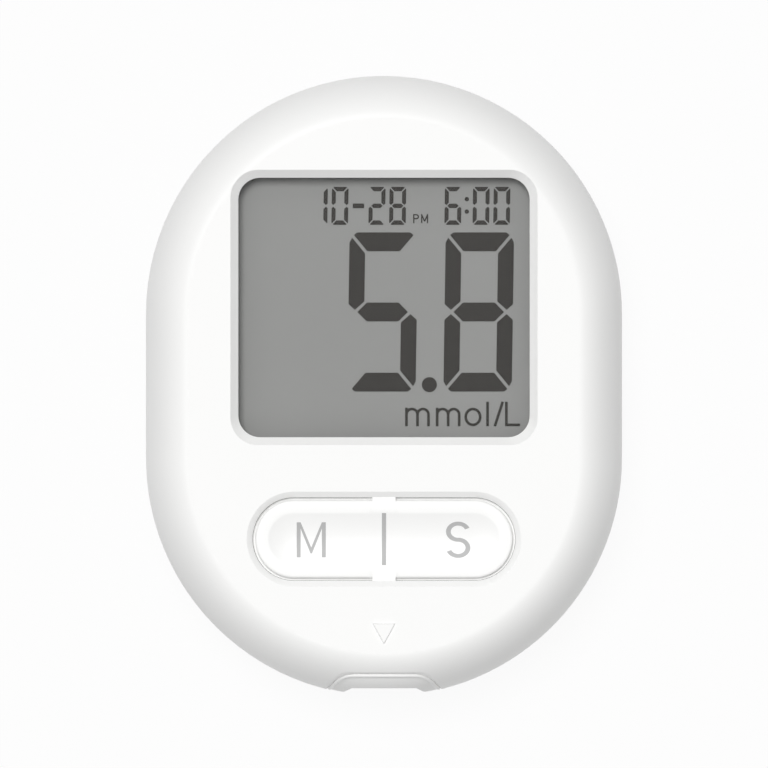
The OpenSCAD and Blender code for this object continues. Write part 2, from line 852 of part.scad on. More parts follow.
module lcd_segments() color("#4b4947")
    translate([0, win_y, segments_z0]) linear_extrude(segment_t) {
        for (i = [0, 1]) translate([[tens_x, ones_x][i], digit_y]) large_digit(reading[i]);
        translate(point_at) circle(d = point_d, $fn = small_fn);
        translate([month_x, small_y]) small_number(month);
        translate([day_x, small_y]) small_number(day);
        translate([hour_x, small_y]) small_number(hour);
        translate([minute_x, small_y]) small_number(minute);
        translate(dash_at) square(dash_size, center = true);
        for (y = colon_ys) translate([colon_x, y]) circle(d = colon_d, $fn = small_fn);
        translate(afternoon_at) afternoon_mark();
        translate(unit_at) unit_mark();
    }

// ---------------------------------------------------------------- keys

// Half profile of the keys' plate: rounded edge, flat rim and shallow dish
function key_chain() =
    let (r = key_w / 2, dish_r = r - key_rim)
    concat(
        [[r, key_z0]],
        [
            for (i = [0:corner_steps])
                let (turn = 90 * i / corner_steps)
                [r - key_edge + key_edge * cos(turn), key_z1 - key_edge + key_edge * sin(turn)]
        ],
        [
            for (i = [0:dish_steps])
                let (x = 1 - i / dish_steps)
                [dish_r * x, key_z1 - dish_d * (1 - x * x)]
        ]
    );

module key_plate() translate([0, key_y, 0]) rotate([0, 0, 90]) oval_solid(key_chain(), key_run);

// One key: its half of the plate and the nub that meets the plunger
module key(side) {
    inner = bridge_w / 2 + hinge_gap;
    intersection() {
        key_plate();
        translate([side > 0 ? inner : -inner - key_l, key_y - key_w, key_z0 - over])
            cube([key_l, 2 * key_w, key_t + 2 * over]);
    }
    translate([side * switch_x, key_y, 0]) rod(nub_d / 2, plunger_z1 + slide_gap, key_z0 + eps);
}

module m_key() color(shell_white) key(-1);
module s_key() color(shell_white) key(1);

// The fixed middle of the keys' plate, with a tab under the cover at each end
module key_bridge() color(shell_white) difference() {
    union() {
        intersection() {
            key_plate();
            translate([-bridge_w / 2, key_y - key_w, key_z0 - over])
                cube([bridge_w, 2 * key_w, key_t + 2 * over]);
        }
        translate([0, key_y, 0]) for (side = [0, 180]) rotate([0, 0, side]) {
            block([-bridge_w / 2, key_w / 2 - key_edge - 1, key_z0], [bridge_w / 2, aperture_r, key_z1]);
            block(
                [-bridge_w / 2, aperture_r - 1, ceiling_z - tab_t],
                [bridge_w / 2, aperture_r + tab_l, ceiling_z]
            );
        }
    }
    for (side = [-1, 1])
        translate([0, key_y + side * stake_y, 0])
            rod(stake_d / 2 + slide_gap, ceiling_z - 2 * over, ceiling_z + over);
}

module switch_body(side) translate([side * switch_x, key_y, 0]) difference() {
    union() {
        for (step = [0, switch_step])
            block(
                [step - switch_w / 2, step - switch_w / 2, board_z1],
                [switch_w / 2 - step, switch_w / 2 - step, switch_z1 - switch_step + step]
            );
        for (x = [-1, 1], y = [-1, 1])
            translate([
                x * (switch_w / 2 - 1),
                y * (switch_w / 2 + switch_leg[1] / 2 - 0.1),
                board_z1 + switch_leg[2] / 2
            ])
                cube(switch_leg, center = true);
    }
    rod(plunger_d / 2 + plunger_fit, plunger_well_z, switch_z1 + over);
}

module m_switch() color(switch_grey) switch_body(-1);
module s_switch() color(switch_grey) switch_body(1);

module plunger(side) translate([side * switch_x, key_y, 0]) {
    rod(plunger_d / 2, plunger_z0, plunger_z1 - 0.3);
    rod(plunger_d / 2 - 0.3, plunger_z0, plunger_z1);
}

module m_plunger() color("#1e1f22") plunger(-1);
module s_plunger() color("#1e1f22") plunger(1);

// ---------------------------------------------------------------- strip port

// The strip's slot between two places along Y, widened all round
module slot_frame(y0, y1, wider) block(
    [-slot_w / 2 - wider, y0, strip_z - slot_h / 2 - wider],
    [slot_w / 2 + wider, y1, strip_z + slot_h / 2 + wider]
);

module strip_port() color(shell_white) difference() {
    union() {
        intersection() {
            case_volume(port_sink);
            arch(0, port_z);
        }
        block([-neck_w / 2, port_y - 0.6, flange_z0], [neck_w / 2, flange_y0 + flange_t, flange_z1]);
        block([-flange_w / 2, flange_y0, flange_z0], [flange_w / 2, flange_y0 + flange_t, flange_z1]);
    }
    notch();
    slot_frame(-end_y - over, flange_y0 + flange_t + over, 0);
    hull() {
        slot_frame(notch_y + flare_l, notch_y + flare_l + eps, 0);
        slot_frame(notch_y - 0.2, notch_y - 0.2 + eps, slot_flare);
    }
}

module strip_connector() color("#e4e4e0") difference() {
    block([-strip_w / 2, strip_y0, strip_z0], [strip_w / 2, strip_y1, board_z0]);
    slot_frame(strip_y0 - over, strip_y1 - strip_back, 0);
    for (x = finger_xs)
        translate([x, 0, strip_z + slot_h / 2])
            block(
                [-finger_w / 2 - slide_gap, strip_y1 - strip_back - over, -finger_t - slide_gap],
                [finger_w / 2 + slide_gap, strip_y1 + over, slide_gap]
            );
}

// Spring fingers that touch the strip, each with a tail that rises to the board
module strip_contacts() color("#d3b25a") for (x = finger_xs) {
    top = strip_z + slot_h / 2;
    tail_y = strip_y1 + slide_gap;
    block([x - finger_w / 2, finger_y0, top - finger_t], [x + finger_w / 2, tail_y + finger_t, top]);
    block(
        [x - finger_w / 2, touch_y0, top - finger_t - touch_h],
        [x + finger_w / 2, touch_y1, top - finger_t + eps]
    );
    block([x - finger_w / 2, tail_y, top - finger_t], [x + finger_w / 2, tail_y + finger_t, board_z0]);
}

// ---------------------------------------------------------------- board

module main_board() color(board_green) difference() {
    oval_plate(board_r, board_z0, board_z1, case_run);
    for (at = [boss_upper, boss_lower]) both_sides(at) rod(boss_r + 0.4, board_z0 - over, board_z1 + over);
    for (at = [post_upper, post_lower])
        both_sides(at) rod(board_screw_d / 2 + seat_gap, board_z0 - over, board_z1 + over);
    for (side = [-1, 1]) {
        translate([0, win_y, 0])
            both_sides([peg_x, side * peg_y]) rod(peg_d / 2 + slide_gap, board_z0 - over, board_z1 + over);
        contact_slot(side);
    }
}

// Where a piece of the given half width hangs under the board, beside the battery bay
function beside_bay(side, half_w) = side * (bay_x + bay_wall + under_room + half_w);

// A flat chip under the board with a row of legs on two sides
module chip(side, y, w, l, t, legs) translate([beside_bay(side, w / 2 + chip_leg_out), y, 0]) {
    block([-w / 2, -l / 2, board_z0 - t], [w / 2, l / 2, board_z0 - 0.1]);
    for (side = [-1, 1], i = [0:legs - 1])
        translate([side * (w / 2 + chip_leg_out / 2 - eps), l * ((i + 0.5) / legs - 0.5), board_z0 - 0.3])
            cube([chip_leg_out, chip_leg_w, 0.6], center = true);
}

module microcontroller() color("#232427") chip(1, chip_y, chip_w, chip_w, chip_t, chip_legs);
module memory_chip() color("#232427") chip(-1, memory_y, memory_w, memory_l, memory_t, chip_legs / 2);

module board_crystal() color(metal)
    translate([beside_bay(-1, memory_w / 2), crystal_y, board_z0 - crystal_d / 2])
        rod_y(crystal_d / 2, 0, crystal_l);

module buzzer() color("#c8a64b") translate([beside_bay(1, buzzer_d / 2), buzzer_y, 0]) {
    rod(buzzer_d / 2, board_z0 - buzzer_t / 2, board_z0);
    rod(buzzer_d / 2 - buzzer_rim, board_z0 - buzzer_t, board_z0 - buzzer_t / 2 + eps);
}

// ---------------------------------------------------------------- batteries

// A cell along Y with its button at the far end
module cell() {
    r = cell_d / 2;
    can_l = cell_l - button_h;
    rotate([-90, 0, 0]) rotate_extrude($fn = round_fn) polygon([
        [0, 0], [r - cell_edge, 0], [r, cell_edge], [r, can_l - cell_edge], [r - cell_edge, can_l],
        [button_d / 2, can_l], [button_d / 2, cell_l], [0, cell_l]
    ]);
}

module battery_left() color("#3f444b")
    translate([-cell_x, bay_y0 + plate_t + slide_gap + cell_l, cell_z]) rotate([0, 0, 180]) cell();
module battery_right() color("#3f444b")
    translate([cell_x, bay_y1 - plate_t - slide_gap - cell_l, cell_z]) cell();

// A contact plate, square to the cells
module contact_plate(side, y) block(
    [side * cell_x - plate_w / 2, y, cell_z - plate_w / 2],
    [side * cell_x + plate_w / 2, y + plate_t, cell_z + plate_w / 2]
);

// A plate at the lower end with a leg up to the board
module end_contact(side) {
    contact_plate(side, bay_y0);
    block(
        [side * cell_x - plate_leg_w / 2, bay_y0, cell_z],
        [side * cell_x + plate_leg_w / 2, bay_y0 + plate_t, board_z1 + 0.3]
    );
}

module contact_plus() color(metal) end_contact(-1);
module contact_minus() color(metal) end_contact(1);

// The plate at the upper end that joins the two cells in series
module contact_link() color(metal) {
    for (side = [-1, 1]) contact_plate(side, bay_y1 - plate_t);
    block([-cell_x, bay_y1 - plate_t, cell_z - plate_leg_w], [cell_x, bay_y1, cell_z + plate_leg_w]);
}

// Centre line of a battery spring, from its plate towards the cell
function spring_path() =
    let (
        count = spring_turns * spring_rings,
        wire_r = spring_wire / 2,
        rise = spring_l - spring_wire - slide_gap
    )
    [
        for (i = [0:count])
            let (
                share = i / count,
                turn = 360 * i / spring_rings,
                r = spring_r0 + (spring_r1 - spring_r0) * share
            )
            [r * cos(turn), wire_r + rise * share, r * sin(turn)]
    ];

// Rings of points round a path that winds about the Y axis
function coil_points(path, wire_r) = [
    for (i = [0:len(path) - 1])
        let (
            ahead = path[min(i + 1, len(path) - 1)] - path[max(i - 1, 0)],
            out = [path[i][0], 0, path[i][2]] / norm([path[i][0], path[i][2]]),
            up = cross(ahead / norm(ahead), out)
        )
        for (k = [0:spring_sides - 1])
            let (turn = 360 * k / spring_sides)
            path[i] + wire_r * (cos(turn) * out + sin(turn) * up)
];

function coil_faces(rings) =
    let (n = spring_sides, last = (rings - 1) * n)
    concat(
        [for (k = [1:n - 2]) [0, k + 1, k]],
        [
            for (i = [0:rings - 2], k = [0:n - 1], half = [0, 1])
                let (a = i * n + k, b = i * n + (k + 1) % n)
                half == 0 ? [a, b, a + n] : [b, b + n, a + n]
        ],
        [for (k = [1:n - 2]) [last, last + k, last + k + 1]]
    );

// Least distance between the wire's surfaces on different turns
function spring_clearance(path) = min([
    for (i = [0:len(path) - 1], j = [i + spring_rings - 2:1:len(path) - 1])
        norm(path[j] - path[i])
]) - spring_wire;

module battery_springs() color(metal) {
    path = spring_path();
    echo(least_gap_of_a_spring_to_itself = spring_clearance(path));
    points = coil_points(path, spring_wire / 2);
    faces = coil_faces(len(path));
    translate([cell_x, bay_y0 + plate_t, cell_z]) polyhedron(points, faces);
    translate([-cell_x, bay_y1 - plate_t, cell_z]) rotate([0, 0, 180]) polyhedron(points, faces);
}

// ---------------------------------------------------------------- battery door

module battery_door() color(shell_white) {
    difference() {
        union() {
            block([-door_x, door_y0, door_z0], [door_x, hinge_y, door_z1]);
            translate([0, hinge_y, hinge_z]) {
                rod_x(door_t / 2, -door_x, door_x);
                rod_x(pin_d / 2, -door_x - pin_l, door_x + pin_l);
            }
        }
        for (i = [0:grip_count - 1])
            translate([0, grip_y + grip_pitch * i, door_z0])
                block([-grip_w / 2, 0, -over], [grip_w / 2, grip_line, grip_d]);
    }
    block([-latch_w / 2, leaf_a_y, door_z0], [latch_w / 2, door_y0 + eps, door_z1]);
    block([-latch_w / 2, leaf_a_y, door_z0], [latch_w / 2, leaf_a_y + leaf_t, leaf_z1]);
    block(
        [-latch_w / 2, leaf_b_y + leaf_t + leaf_free, leaf_z1 - leaf_t],
        [latch_w / 2, leaf_a_y + eps, leaf_z1]
    );
}

// The outer leaf of the latch: finger pad, leaf and hook
module door_latch() color(shell_white) {
    block([-latch_w / 2, leaf_b_y, leaf_z0], [latch_w / 2, leaf_b_y + leaf_t, leaf_z1]);
    translate([-latch_w / 2, 0, 0]) rotate([90, 0, 90]) linear_extrude(latch_w)
        polygon([
            [leaf_b_y + eps, hook_z0], [leaf_b_y - hook_out, hook_z0],
            [leaf_b_y - hook_out, hook_z0 + hook_tip], [leaf_b_y + eps, hook_z1]
        ]);
    block(
        [-latch_w / 2 + pad_side, leaf_b_y - pad_out, leaf_z0],
        [latch_w / 2 - pad_side, leaf_b_y + eps, leaf_z0 + pad_t]
    );
}

// ---------------------------------------------------------------- fasteners

// A pan-head screw pointing up, with its head's underside at z = 0
module screw(r, length, head_r, head_h) difference() {
    rotate_extrude($fn = small_fn) polygon([
        [0, -head_h], [head_r - head_edge, -head_h], [head_r, -head_h + head_edge],
        [head_r, 0], [r, 0], [r, length - r / 2], [r / 2, length], [0, length]
    ]);
    for (turn = [0, 90])
        rotate([0, 0, turn])
            block(
                [-cross_l / 2, -cross_w / 2, -head_h - over],
                [cross_l / 2, cross_w / 2, -head_h + cross_d]
            );
}

module case_screws() color(steel)
    for (at = [boss_upper, boss_lower])
        both_sides(at) translate([0, 0, head_z1]) screw(screw_d / 2, screw_l, head_d / 2, head_h);

module board_screws() color(steel)
    for (at = [post_upper, post_lower])
        both_sides(at) translate([0, 0, board_z0])
            screw(board_screw_d / 2, board_screw_l, board_head_r, board_head_h);

// ---------------------------------------------------------------- parts

front_cover();
rear_cover();
display_window();
window_gasket();
lcd_frame();
lcd_reflector();
lcd_rear_glass();
lcd_segments();
lcd_front_glass();
zebra_connectors();
main_board();
microcontroller();
memory_chip();
board_crystal();
buzzer();
m_switch();
s_switch();
m_plunger();
s_plunger();
m_key();
s_key();
key_bridge();
strip_port();
strip_connector();
strip_contacts();
battery_left();
battery_right();
battery_springs();
contact_plus();
contact_minus();
contact_link();
battery_door();
door_latch();
board_screws();
case_screws();
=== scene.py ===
"""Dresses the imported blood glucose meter: covers, display, keys, strip port and batteries.

Sizes are in millimetres about the frame's origin, which is the centre of the oval
outline on the rest face. +Y runs to the display end and +Z out of the display.
A Form is modelled in millimetres and set in metres when it is finished.
"""

import json
import logging
import math
from dataclasses import dataclass
from enum import Enum
from typing import Callable, Iterable, Sequence

import bmesh
import bpy
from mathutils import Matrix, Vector

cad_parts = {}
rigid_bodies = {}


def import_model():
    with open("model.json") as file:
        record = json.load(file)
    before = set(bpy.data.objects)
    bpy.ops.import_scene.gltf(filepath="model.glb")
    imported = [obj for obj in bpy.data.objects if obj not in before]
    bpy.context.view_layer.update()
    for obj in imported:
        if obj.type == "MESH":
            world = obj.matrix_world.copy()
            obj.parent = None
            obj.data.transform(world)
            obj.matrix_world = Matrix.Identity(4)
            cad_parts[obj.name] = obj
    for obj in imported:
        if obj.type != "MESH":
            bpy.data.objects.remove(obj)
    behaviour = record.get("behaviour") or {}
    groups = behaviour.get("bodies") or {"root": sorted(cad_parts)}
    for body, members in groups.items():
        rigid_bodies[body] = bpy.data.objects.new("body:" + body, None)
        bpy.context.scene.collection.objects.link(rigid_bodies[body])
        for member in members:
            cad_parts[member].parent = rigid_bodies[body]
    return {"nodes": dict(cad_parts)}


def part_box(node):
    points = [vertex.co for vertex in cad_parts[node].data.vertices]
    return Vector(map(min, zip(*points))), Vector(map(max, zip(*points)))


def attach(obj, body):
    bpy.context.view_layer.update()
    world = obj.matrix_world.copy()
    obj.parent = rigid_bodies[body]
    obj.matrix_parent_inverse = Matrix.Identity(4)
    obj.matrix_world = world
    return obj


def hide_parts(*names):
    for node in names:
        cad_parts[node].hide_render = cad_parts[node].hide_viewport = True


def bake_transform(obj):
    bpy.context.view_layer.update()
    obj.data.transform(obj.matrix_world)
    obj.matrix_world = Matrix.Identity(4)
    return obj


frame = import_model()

log = logging.getLogger("meter")

MM = 0.001
MERGE = 1e-3  # distance at which two points are one
OVER = 1.0  # how far a tool reaches past what it cuts
ORIGIN = (0, 0, 0)
ROUND_SEGMENTS = 24  # edges in a quarter turn of the case
CORNER_SEGMENTS = 10  # edges in a quarter turn of a small outline
FLAT_ANGLE = math.radians(0.3)  # up to which two triangles are one face
EDGE_ANGLE = 35  # degrees from which an edge is rounded
HALF_CORNER = math.tan(math.radians(22.5))  # setback per radius of a 45 degree corner
WIRE_ROUND = 3  # extra edges in a quarter turn of a wire
WIRE_ANGLE = 40  # degrees from which an edge of a wire stays sharp
PURE_WHITE = (1.0, 1.0, 1.0)

Colour = tuple[float, float, float]
Pair = tuple[float, float]
Inputs = dict[str | int, object]


class Axis(Enum):
    """An axis of the frame."""

    X = 0
    Y = 1
    Z = 2


class Blend(Enum):
    """How two solids are combined."""

    CUT = "DIFFERENCE"
    JOIN = "UNION"
    KEEP = "INTERSECT"


class Lean(Enum):
    """Which way a cell or a spring points along Y."""

    UP = 1
    DOWN = -1


def linear(red: int, green: int, blue: int) -> Colour:
    """Turns a colour as a screen shows it into the one that the shader works with.

    Args:
        red: Red from 0 to 255.
        green: Green from 0 to 255.
        blue: Blue from 0 to 255.

    Returns:
        The three channels, from 0 to 1, in linear light.
    """
    shares = [channel / 255 for channel in (red, green, blue)]
    return tuple(s / 12.92 if s <= 0.04045 else ((s + 0.055) / 1.055) ** 2.4 for s in shares)


def shade(colour: Colour, factor: float) -> Colour:
    """Returns a colour made darker or lighter by a factor."""
    return tuple(channel * factor for channel in colour)


def turns(first: float, last: float, steps: int) -> list[float]:
    """Spreads angles evenly.

    Args:
        first: First angle in degrees.
        last: Last angle in degrees.
        steps: Number of steps between them.

    Returns:
        The angles in radians, both ends included.
    """
    return [math.radians(first + (last - first) * i / steps) for i in range(steps + 1)]


# ---------------------------------------------------------------- modelling


@dataclass(frozen=True)
class Outline:
    """A rounded rectangle seen from above: an oval or a circle where its corners meet.

    Attributes:
        width: Size along X.
        height: Size along Y.
        radius: Radius of the corners.
        at: Centre.
        segments: Edges in a quarter turn.
    """

    width: float
    height: float
    radius: float
    at: Pair = (0.0, 0.0)
    segments: int = CORNER_SEGMENTS

    def centres(self) -> list[tuple[float, float, int, int]]:
        """Finds the centres that the corners turn about.

        Returns:
            X, Y and the side of the middle, -1, 0 or 1, along X and along Y.
        """
        reach_x = self.width / 2 - self.radius
        reach_y = self.height / 2 - self.radius
        return [
            (self.at[0] + x * reach_x, self.at[1] + y * reach_y, x, y)
            for x in ((-1, 1) if reach_x > MERGE else (0,))
            for y in ((-1, 1) if reach_y > MERGE else (0,))
        ]


def circle(radius: float, at: Pair = (0.0, 0.0)) -> Outline:
    """Returns the outline of a circle of that radius and place."""
    return Outline(2 * radius, 2 * radius, radius, at)


@dataclass(frozen=True)
class Ring:
    """One level of a loft.

    Attributes:
        grow: How far the outline is offset outwards.
        z: Height.
        spread: How far the corners' centres also move apart.
    """

    grow: float
    z: float
    spread: float = 0.0


@dataclass(frozen=True)
class Block:
    """A block astride the middle plane of the meter.

    Attributes:
        width: Width along X.
        ends: Where it starts and ends along Y, in either order.
        levels: Its lowest and highest Z.
    """

    width: float
    ends: Pair
    levels: Pair

    @property
    def height(self) -> float:
        """Returns its size along Z."""
        return self.levels[1] - self.levels[0]


def add_object(name: str, data: bpy.types.ID) -> bpy.types.Object:
    """Puts a new object with that data into the scene.

    Args:
        name: Its name.
        data: Its mesh, curve, lamp or camera.

    Returns:
        The object.
    """
    ob = bpy.data.objects.new(name, data)
    bpy.context.scene.collection.objects.link(ob)
    return ob


def take(ob: bpy.types.Object) -> None:
    """Leaves edit mode and selects one object alone.

    Args:
        ob: The object.
    """
    if bpy.context.mode != "OBJECT":
        bpy.ops.object.mode_set(mode="OBJECT")
    bpy.ops.object.select_all(action="DESELECT")
    ob.select_set(True)
    bpy.context.view_layer.objects.active = ob


def modify(ob: bpy.types.Object, kind: str, **settings: object) -> str:
    """Adds a modifier.

    Args:
        ob: The object.
        kind: The modifier's type.
        settings: Its properties.

    Returns:
        The modifier's name.
    """
    modifier = ob.modifiers.new(kind.lower(), kind)
    for name, value in settings.items():
        setattr(modifier, name, value)
    return modifier.name


def dress_piece(ob: bpy.types.Object, dress: "Finish") -> bpy.types.Object:
    """Gives a piece its finish.

    Args:
        ob: The piece.
        dress: The finish.

    Returns:
        The piece.
    """
    ob.data.materials.clear()
    ob.data.materials.append(dress.material())
    log.info("%s: %d faces", ob.name, len(ob.data.polygons))
    return ob


class Form:
    """A piece that is modelled in edit mode, in millimetres."""

    def __init__(self, name: str) -> None:
        """Starts an empty piece of that name and opens it."""
        self.ob = add_object(name, bpy.data.meshes.new(name))
        self.open()

    @classmethod
    def from_node(cls, node: str, name: str) -> "Form":
        """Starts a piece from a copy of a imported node, with its loose triangles joined.

        Args:
            node: Name of the node.
            name: Name of the new piece.

        Returns:
            The piece, open for editing.
        """
        form = cls(name)
        take(form.ob)
        form.ob.data = frame["nodes"][node].data.copy()
        bpy.ops.mesh.customdata_custom_splitnormals_clear()
        form.open()
        form.scale(1 / MM)
        bpy.ops.mesh.remove_doubles(threshold=MERGE)
        bpy.ops.mesh.dissolve_limited(angle_limit=FLAT_ANGLE)
        return form

    def open(self) -> None:
        """Takes this piece alone in hand and enters edit mode with nothing selected."""
        take(self.ob)
        bpy.ops.object.mode_set(mode="EDIT")
        bpy.ops.mesh.select_mode(type="VERT")
        bpy.ops.mesh.select_all(action="DESELECT")

    def scale(self, factor: float) -> None:
        """Scales the whole piece about the origin and leaves it selected."""
        bpy.ops.mesh.select_all(action="SELECT")
        bpy.ops.transform.resize(value=(factor,) * 3, center_override=ORIGIN)

    def select(self, points: Iterable[int]) -> None:
        """Selects the vertices of those numbers and what lies between them.

        Args:
            points: The numbers.
        """
        bpy.ops.mesh.select_mode(type="VERT")
        bpy.ops.mesh.select_all(action="DESELECT")
        grid = bmesh.from_edit_mesh(self.ob.data)
        grid.verts.ensure_lookup_table()
        for number in points:
            grid.verts[number].select_set(True)
        grid.select_flush(True)
        bmesh.update_edit_mesh(self.ob.data)

    def pick_points(self, test: Callable[[Vector], bool]) -> None:
        """Selects the vertices that pass a test.

        Args:
            test: Takes a vertex's place.
        """
        grid = bmesh.from_edit_mesh(self.ob.data)
        grid.verts.index_update()
        self.select([vert.index for vert in grid.verts if test(vert.co)])

    def pick_edges(self, test: Callable[[Vector, Vector], bool]) -> None:
        """Selects the edges whose two ends pass a test.

        Args:
            test: Takes an edge's two ends.
        """
        grid = bmesh.from_edit_mesh(self.ob.data)
        bpy.ops.mesh.select_all(action="DESELECT")
        bpy.ops.mesh.select_mode(type="EDGE")
        for edge in grid.edges:
            if test(edge.verts[0].co, edge.verts[1].co):
                edge.select_set(True)
        bmesh.update_edit_mesh(self.ob.data)

    def taper(
        self, axis: Axis, side: int, factors: Sequence[float], centre: Sequence[float]
    ) -> "Form":
        """Resizes the outermost end of the piece along an axis.

        Args:
            axis: The axis.
            side: 1 for its upper end, -1 for its lower one.
            factors: Factor along X, Y and Z.
            centre: The point that stays.

        Returns:
            The piece.
        """
        grid = bmesh.from_edit_mesh(self.ob.data)
        outermost = max(side * vert.co[axis.value] for vert in grid.verts)
        self.pick_points(lambda spot: side * spot[axis.value] > outermost - MERGE)
        bpy.ops.transform.resize(value=factors, center_override=centre)
        return self

    def _reshape(self, outline: Outline, was: Ring, now: Ring) -> None:
        """Moves the selected ring of an outline from one growth to another.

        Args:
            outline: The outline.
            was: Its growth before.
            now: Its growth after.
        """
        grid = bmesh.from_edit_mesh(self.ob.data)
        centres = [
            (x + side_x * was.spread, y + side_y * was.spread, side_x, side_y)
            for x, y, side_x, side_y in outline.centres()
        ]
        groups: list[list[int]] = [[] for _ in centres]
        for vert in grid.verts:
            if vert.select:
                away = [(vert.co.x - x) ** 2 + (vert.co.y - y) ** 2 for x, y, _, _ in centres]
                groups[away.index(min(away))].append(vert.index)
        scale = (outline.radius + now.grow) / (outline.radius + was.grow)
        apart = now.spread - was.spread
        for (x, y, side_x, side_y), members in zip(centres, groups):
            self.select(members)
            bpy.ops.transform.resize(value=(scale, scale, 1), center_override=(x, y, now.z))
            if apart:
                bpy.ops.transform.translate(value=(side_x * apart, side_y * apart, 0))
        self.select(number for members in groups for number in members)

    def loft(self, outline: Outline, rings: Sequence[Ring]) -> "Form":
        """Adds a closed solid that follows an outline from ring to ring.

        Args:
            outline: The outline before it grows.
            rings: The levels, from one flat end to the other.

        Returns:
            The piece.
        """
        first = rings[0]
        self.open()
        self.flat((*outline.at, first.z), (outline.width, outline.height))
        bpy.ops.mesh.bevel(
            offset=outline.radius, segments=outline.segments, affect="VERTICES", clamp_overlap=False
        )
        bpy.ops.mesh.remove_doubles(threshold=MERGE)
        bpy.ops.mesh.select_linked()
        bmesh.from_edit_mesh(self.ob.data).verts.index_update()
        self._reshape(outline, Ring(0, first.z), first)
        for was, now in zip(rings, rings[1:]):
            rise = {"value": (0, 0, now.z - was.z)}
            bpy.ops.mesh.extrude_region_move(TRANSFORM_OT_translate=rise)
            bmesh.from_edit_mesh(self.ob.data).verts.index_update()
            self._reshape(outline, was, now)
        return self.recalculate()

    def flat(self, centre: Sequence[float], size: Pair) -> None:
        """Adds a level rectangle and leaves it selected.

        Args:
            centre: Its centre.
            size: Its size along X and Y.
        """
        bpy.ops.mesh.select_all(action="DESELECT")
        bpy.ops.mesh.primitive_plane_add(size=1, location=centre)
        bpy.ops.transform.resize(value=(*size, 1), center_override=centre)

    def block(self, block: Block) -> "Form":
        """Adds a block.

        Args:
            block: Its size and place.

        Returns:
            The piece.
        """
        (back, front), (low, high) = sorted(block.ends), block.levels
        centre = (0, (back + front) / 2, (low + high) / 2)
        self.open()
        bpy.ops.mesh.primitive_cube_add(size=1, location=centre)
        size = (block.width, front - back, high - low)
        bpy.ops.transform.resize(value=size, center_override=centre)
        return self

    def rod(self, radius: float, at: Pair, levels: Pair) -> "Form":
        """Adds an upright round rod.

        Args:
            radius: Radius of the rod.
            at: Its place seen from above.
            levels: Its lowest and highest Z.

        Returns:
            The piece.
        """
        low, high = levels
        self.open()
        bpy.ops.mesh.primitive_cylinder_add(
            vertices=4 * CORNER_SEGMENTS, radius=radius, depth=high - low,
            location=(*at, (low + high) / 2),
        )
        return self

    def recalculate(self) -> "Form":
        """Turns every face outwards.

        Returns:
            The piece.
        """
        self.open()
        bpy.ops.mesh.select_all(action="SELECT")
        bpy.ops.mesh.normals_make_consistent(inside=False)
        return self

    def apply(self, kind: str, **settings: object) -> "Form":
        """Adds a modifier and applies it.

        Args:
            kind: The modifier's type.
            settings: Its properties.

        Returns:
            The piece.
        """
        take(self.ob)
        bpy.ops.object.modifier_apply(modifier=modify(self.ob, kind, **settings))
        self.open()
        return self

    def _combine(self, tool: "Form", blend: Blend) -> "Form":
        """Combines this piece with a tool piece, which is used up.

        Args:
            tool: The tool piece.
            blend: How they are combined.

        Returns:
            This piece.
        """
        tool.recalculate()
        self.apply("BOOLEAN", object=tool.ob, operation=blend.value, solver="EXACT")
        bpy.data.objects.remove(tool.ob)
        return self

    def cut(self, tool: "Form") -> "Form":
        """Takes a tool's volume out of this piece."""
        return self._combine(tool, Blend.CUT)

    def join(self, tool: "Form") -> "Form":
        """Adds a tool's volume to this piece."""
        return self._combine(tool, Blend.JOIN)

    def keep(self, tool: "Form") -> "Form":
        """Keeps what lies inside a tool's volume."""
        return self._combine(tool, Blend.KEEP)

    def halve(self, side: int) -> None:
        """Keeps the left part, for -1, or the right part, for 1, and closes it."""
        bpy.ops.mesh.select_all(action="SELECT")
        bpy.ops.mesh.bisect(
            plane_co=ORIGIN, plane_no=(1, 0, 0), use_fill=True,
            clear_inner=side > 0, clear_outer=side < 0,
        )

    def slice(self, places: Iterable[float], axis: Axis = Axis.X) -> None:
        """Cuts edge loops square to an axis, where the piece has to bend.

        Args:
            places: Places along the axis.
            axis: The axis.
        """
        normal = [float(i == axis.value) for i in range(3)]
        for place in places:
            bpy.ops.mesh.select_all(action="SELECT")
            bpy.ops.mesh.bisect(plane_co=[place * n for n in normal], plane_no=normal)

    def round_edges(self, width: float, angle: float = EDGE_ANGLE, segments: int = 2) -> "Form":
        """Rounds the edges that are sharper than an angle.

        Args:
            width: Width of the rounding.
            angle: Least angle between two faces, in degrees.
            segments: Facets across the rounding.

        Returns:
            The piece.
        """
        limit = math.radians(angle)
        return self.apply("BEVEL", width=width, segments=segments, angle_limit=limit)

    def settle(self, target: bpy.types.Object, lift: float) -> None:
        """Lays a flat print on the surface under it.

        Args:
            target: A finished piece.
            lift: How far the print stands off it.
        """
        self.scale(MM)
        self.apply(
            "SHRINKWRAP", target=target, wrap_method="PROJECT", use_project_z=True,
            use_negative_direction=True, use_positive_direction=False, offset=lift * MM,
        )
        self.scale(1 / MM)
        self.apply("SOLIDIFY", thickness=lift, offset=0).recalculate()

    def finish(self, dress: "Finish", slot: str, sharp: float = 32) -> bpy.types.Object:
        """Smooths the piece, sets it in metres and gives it its finish.

        Args:
            dress: The finish.
            slot: The record's material slot; not used.
            sharp: Angle in degrees over which an edge stays sharp.

        Returns:
            The finished piece, at the origin and unscaled.
        """
        self.open()
        bpy.ops.mesh.select_all(action="SELECT")
        bpy.ops.mesh.remove_doubles(threshold=MERGE / 10)
        bpy.ops.mesh.delete_loose()
        self.scale(MM)
        take(self.ob)
        bpy.ops.object.shade_smooth_by_angle(angle=math.radians(sharp))
        self.apply("WEIGHTED_NORMAL", keep_sharp=True)
        take(self.ob)
        return dress_piece(self.ob, dress)


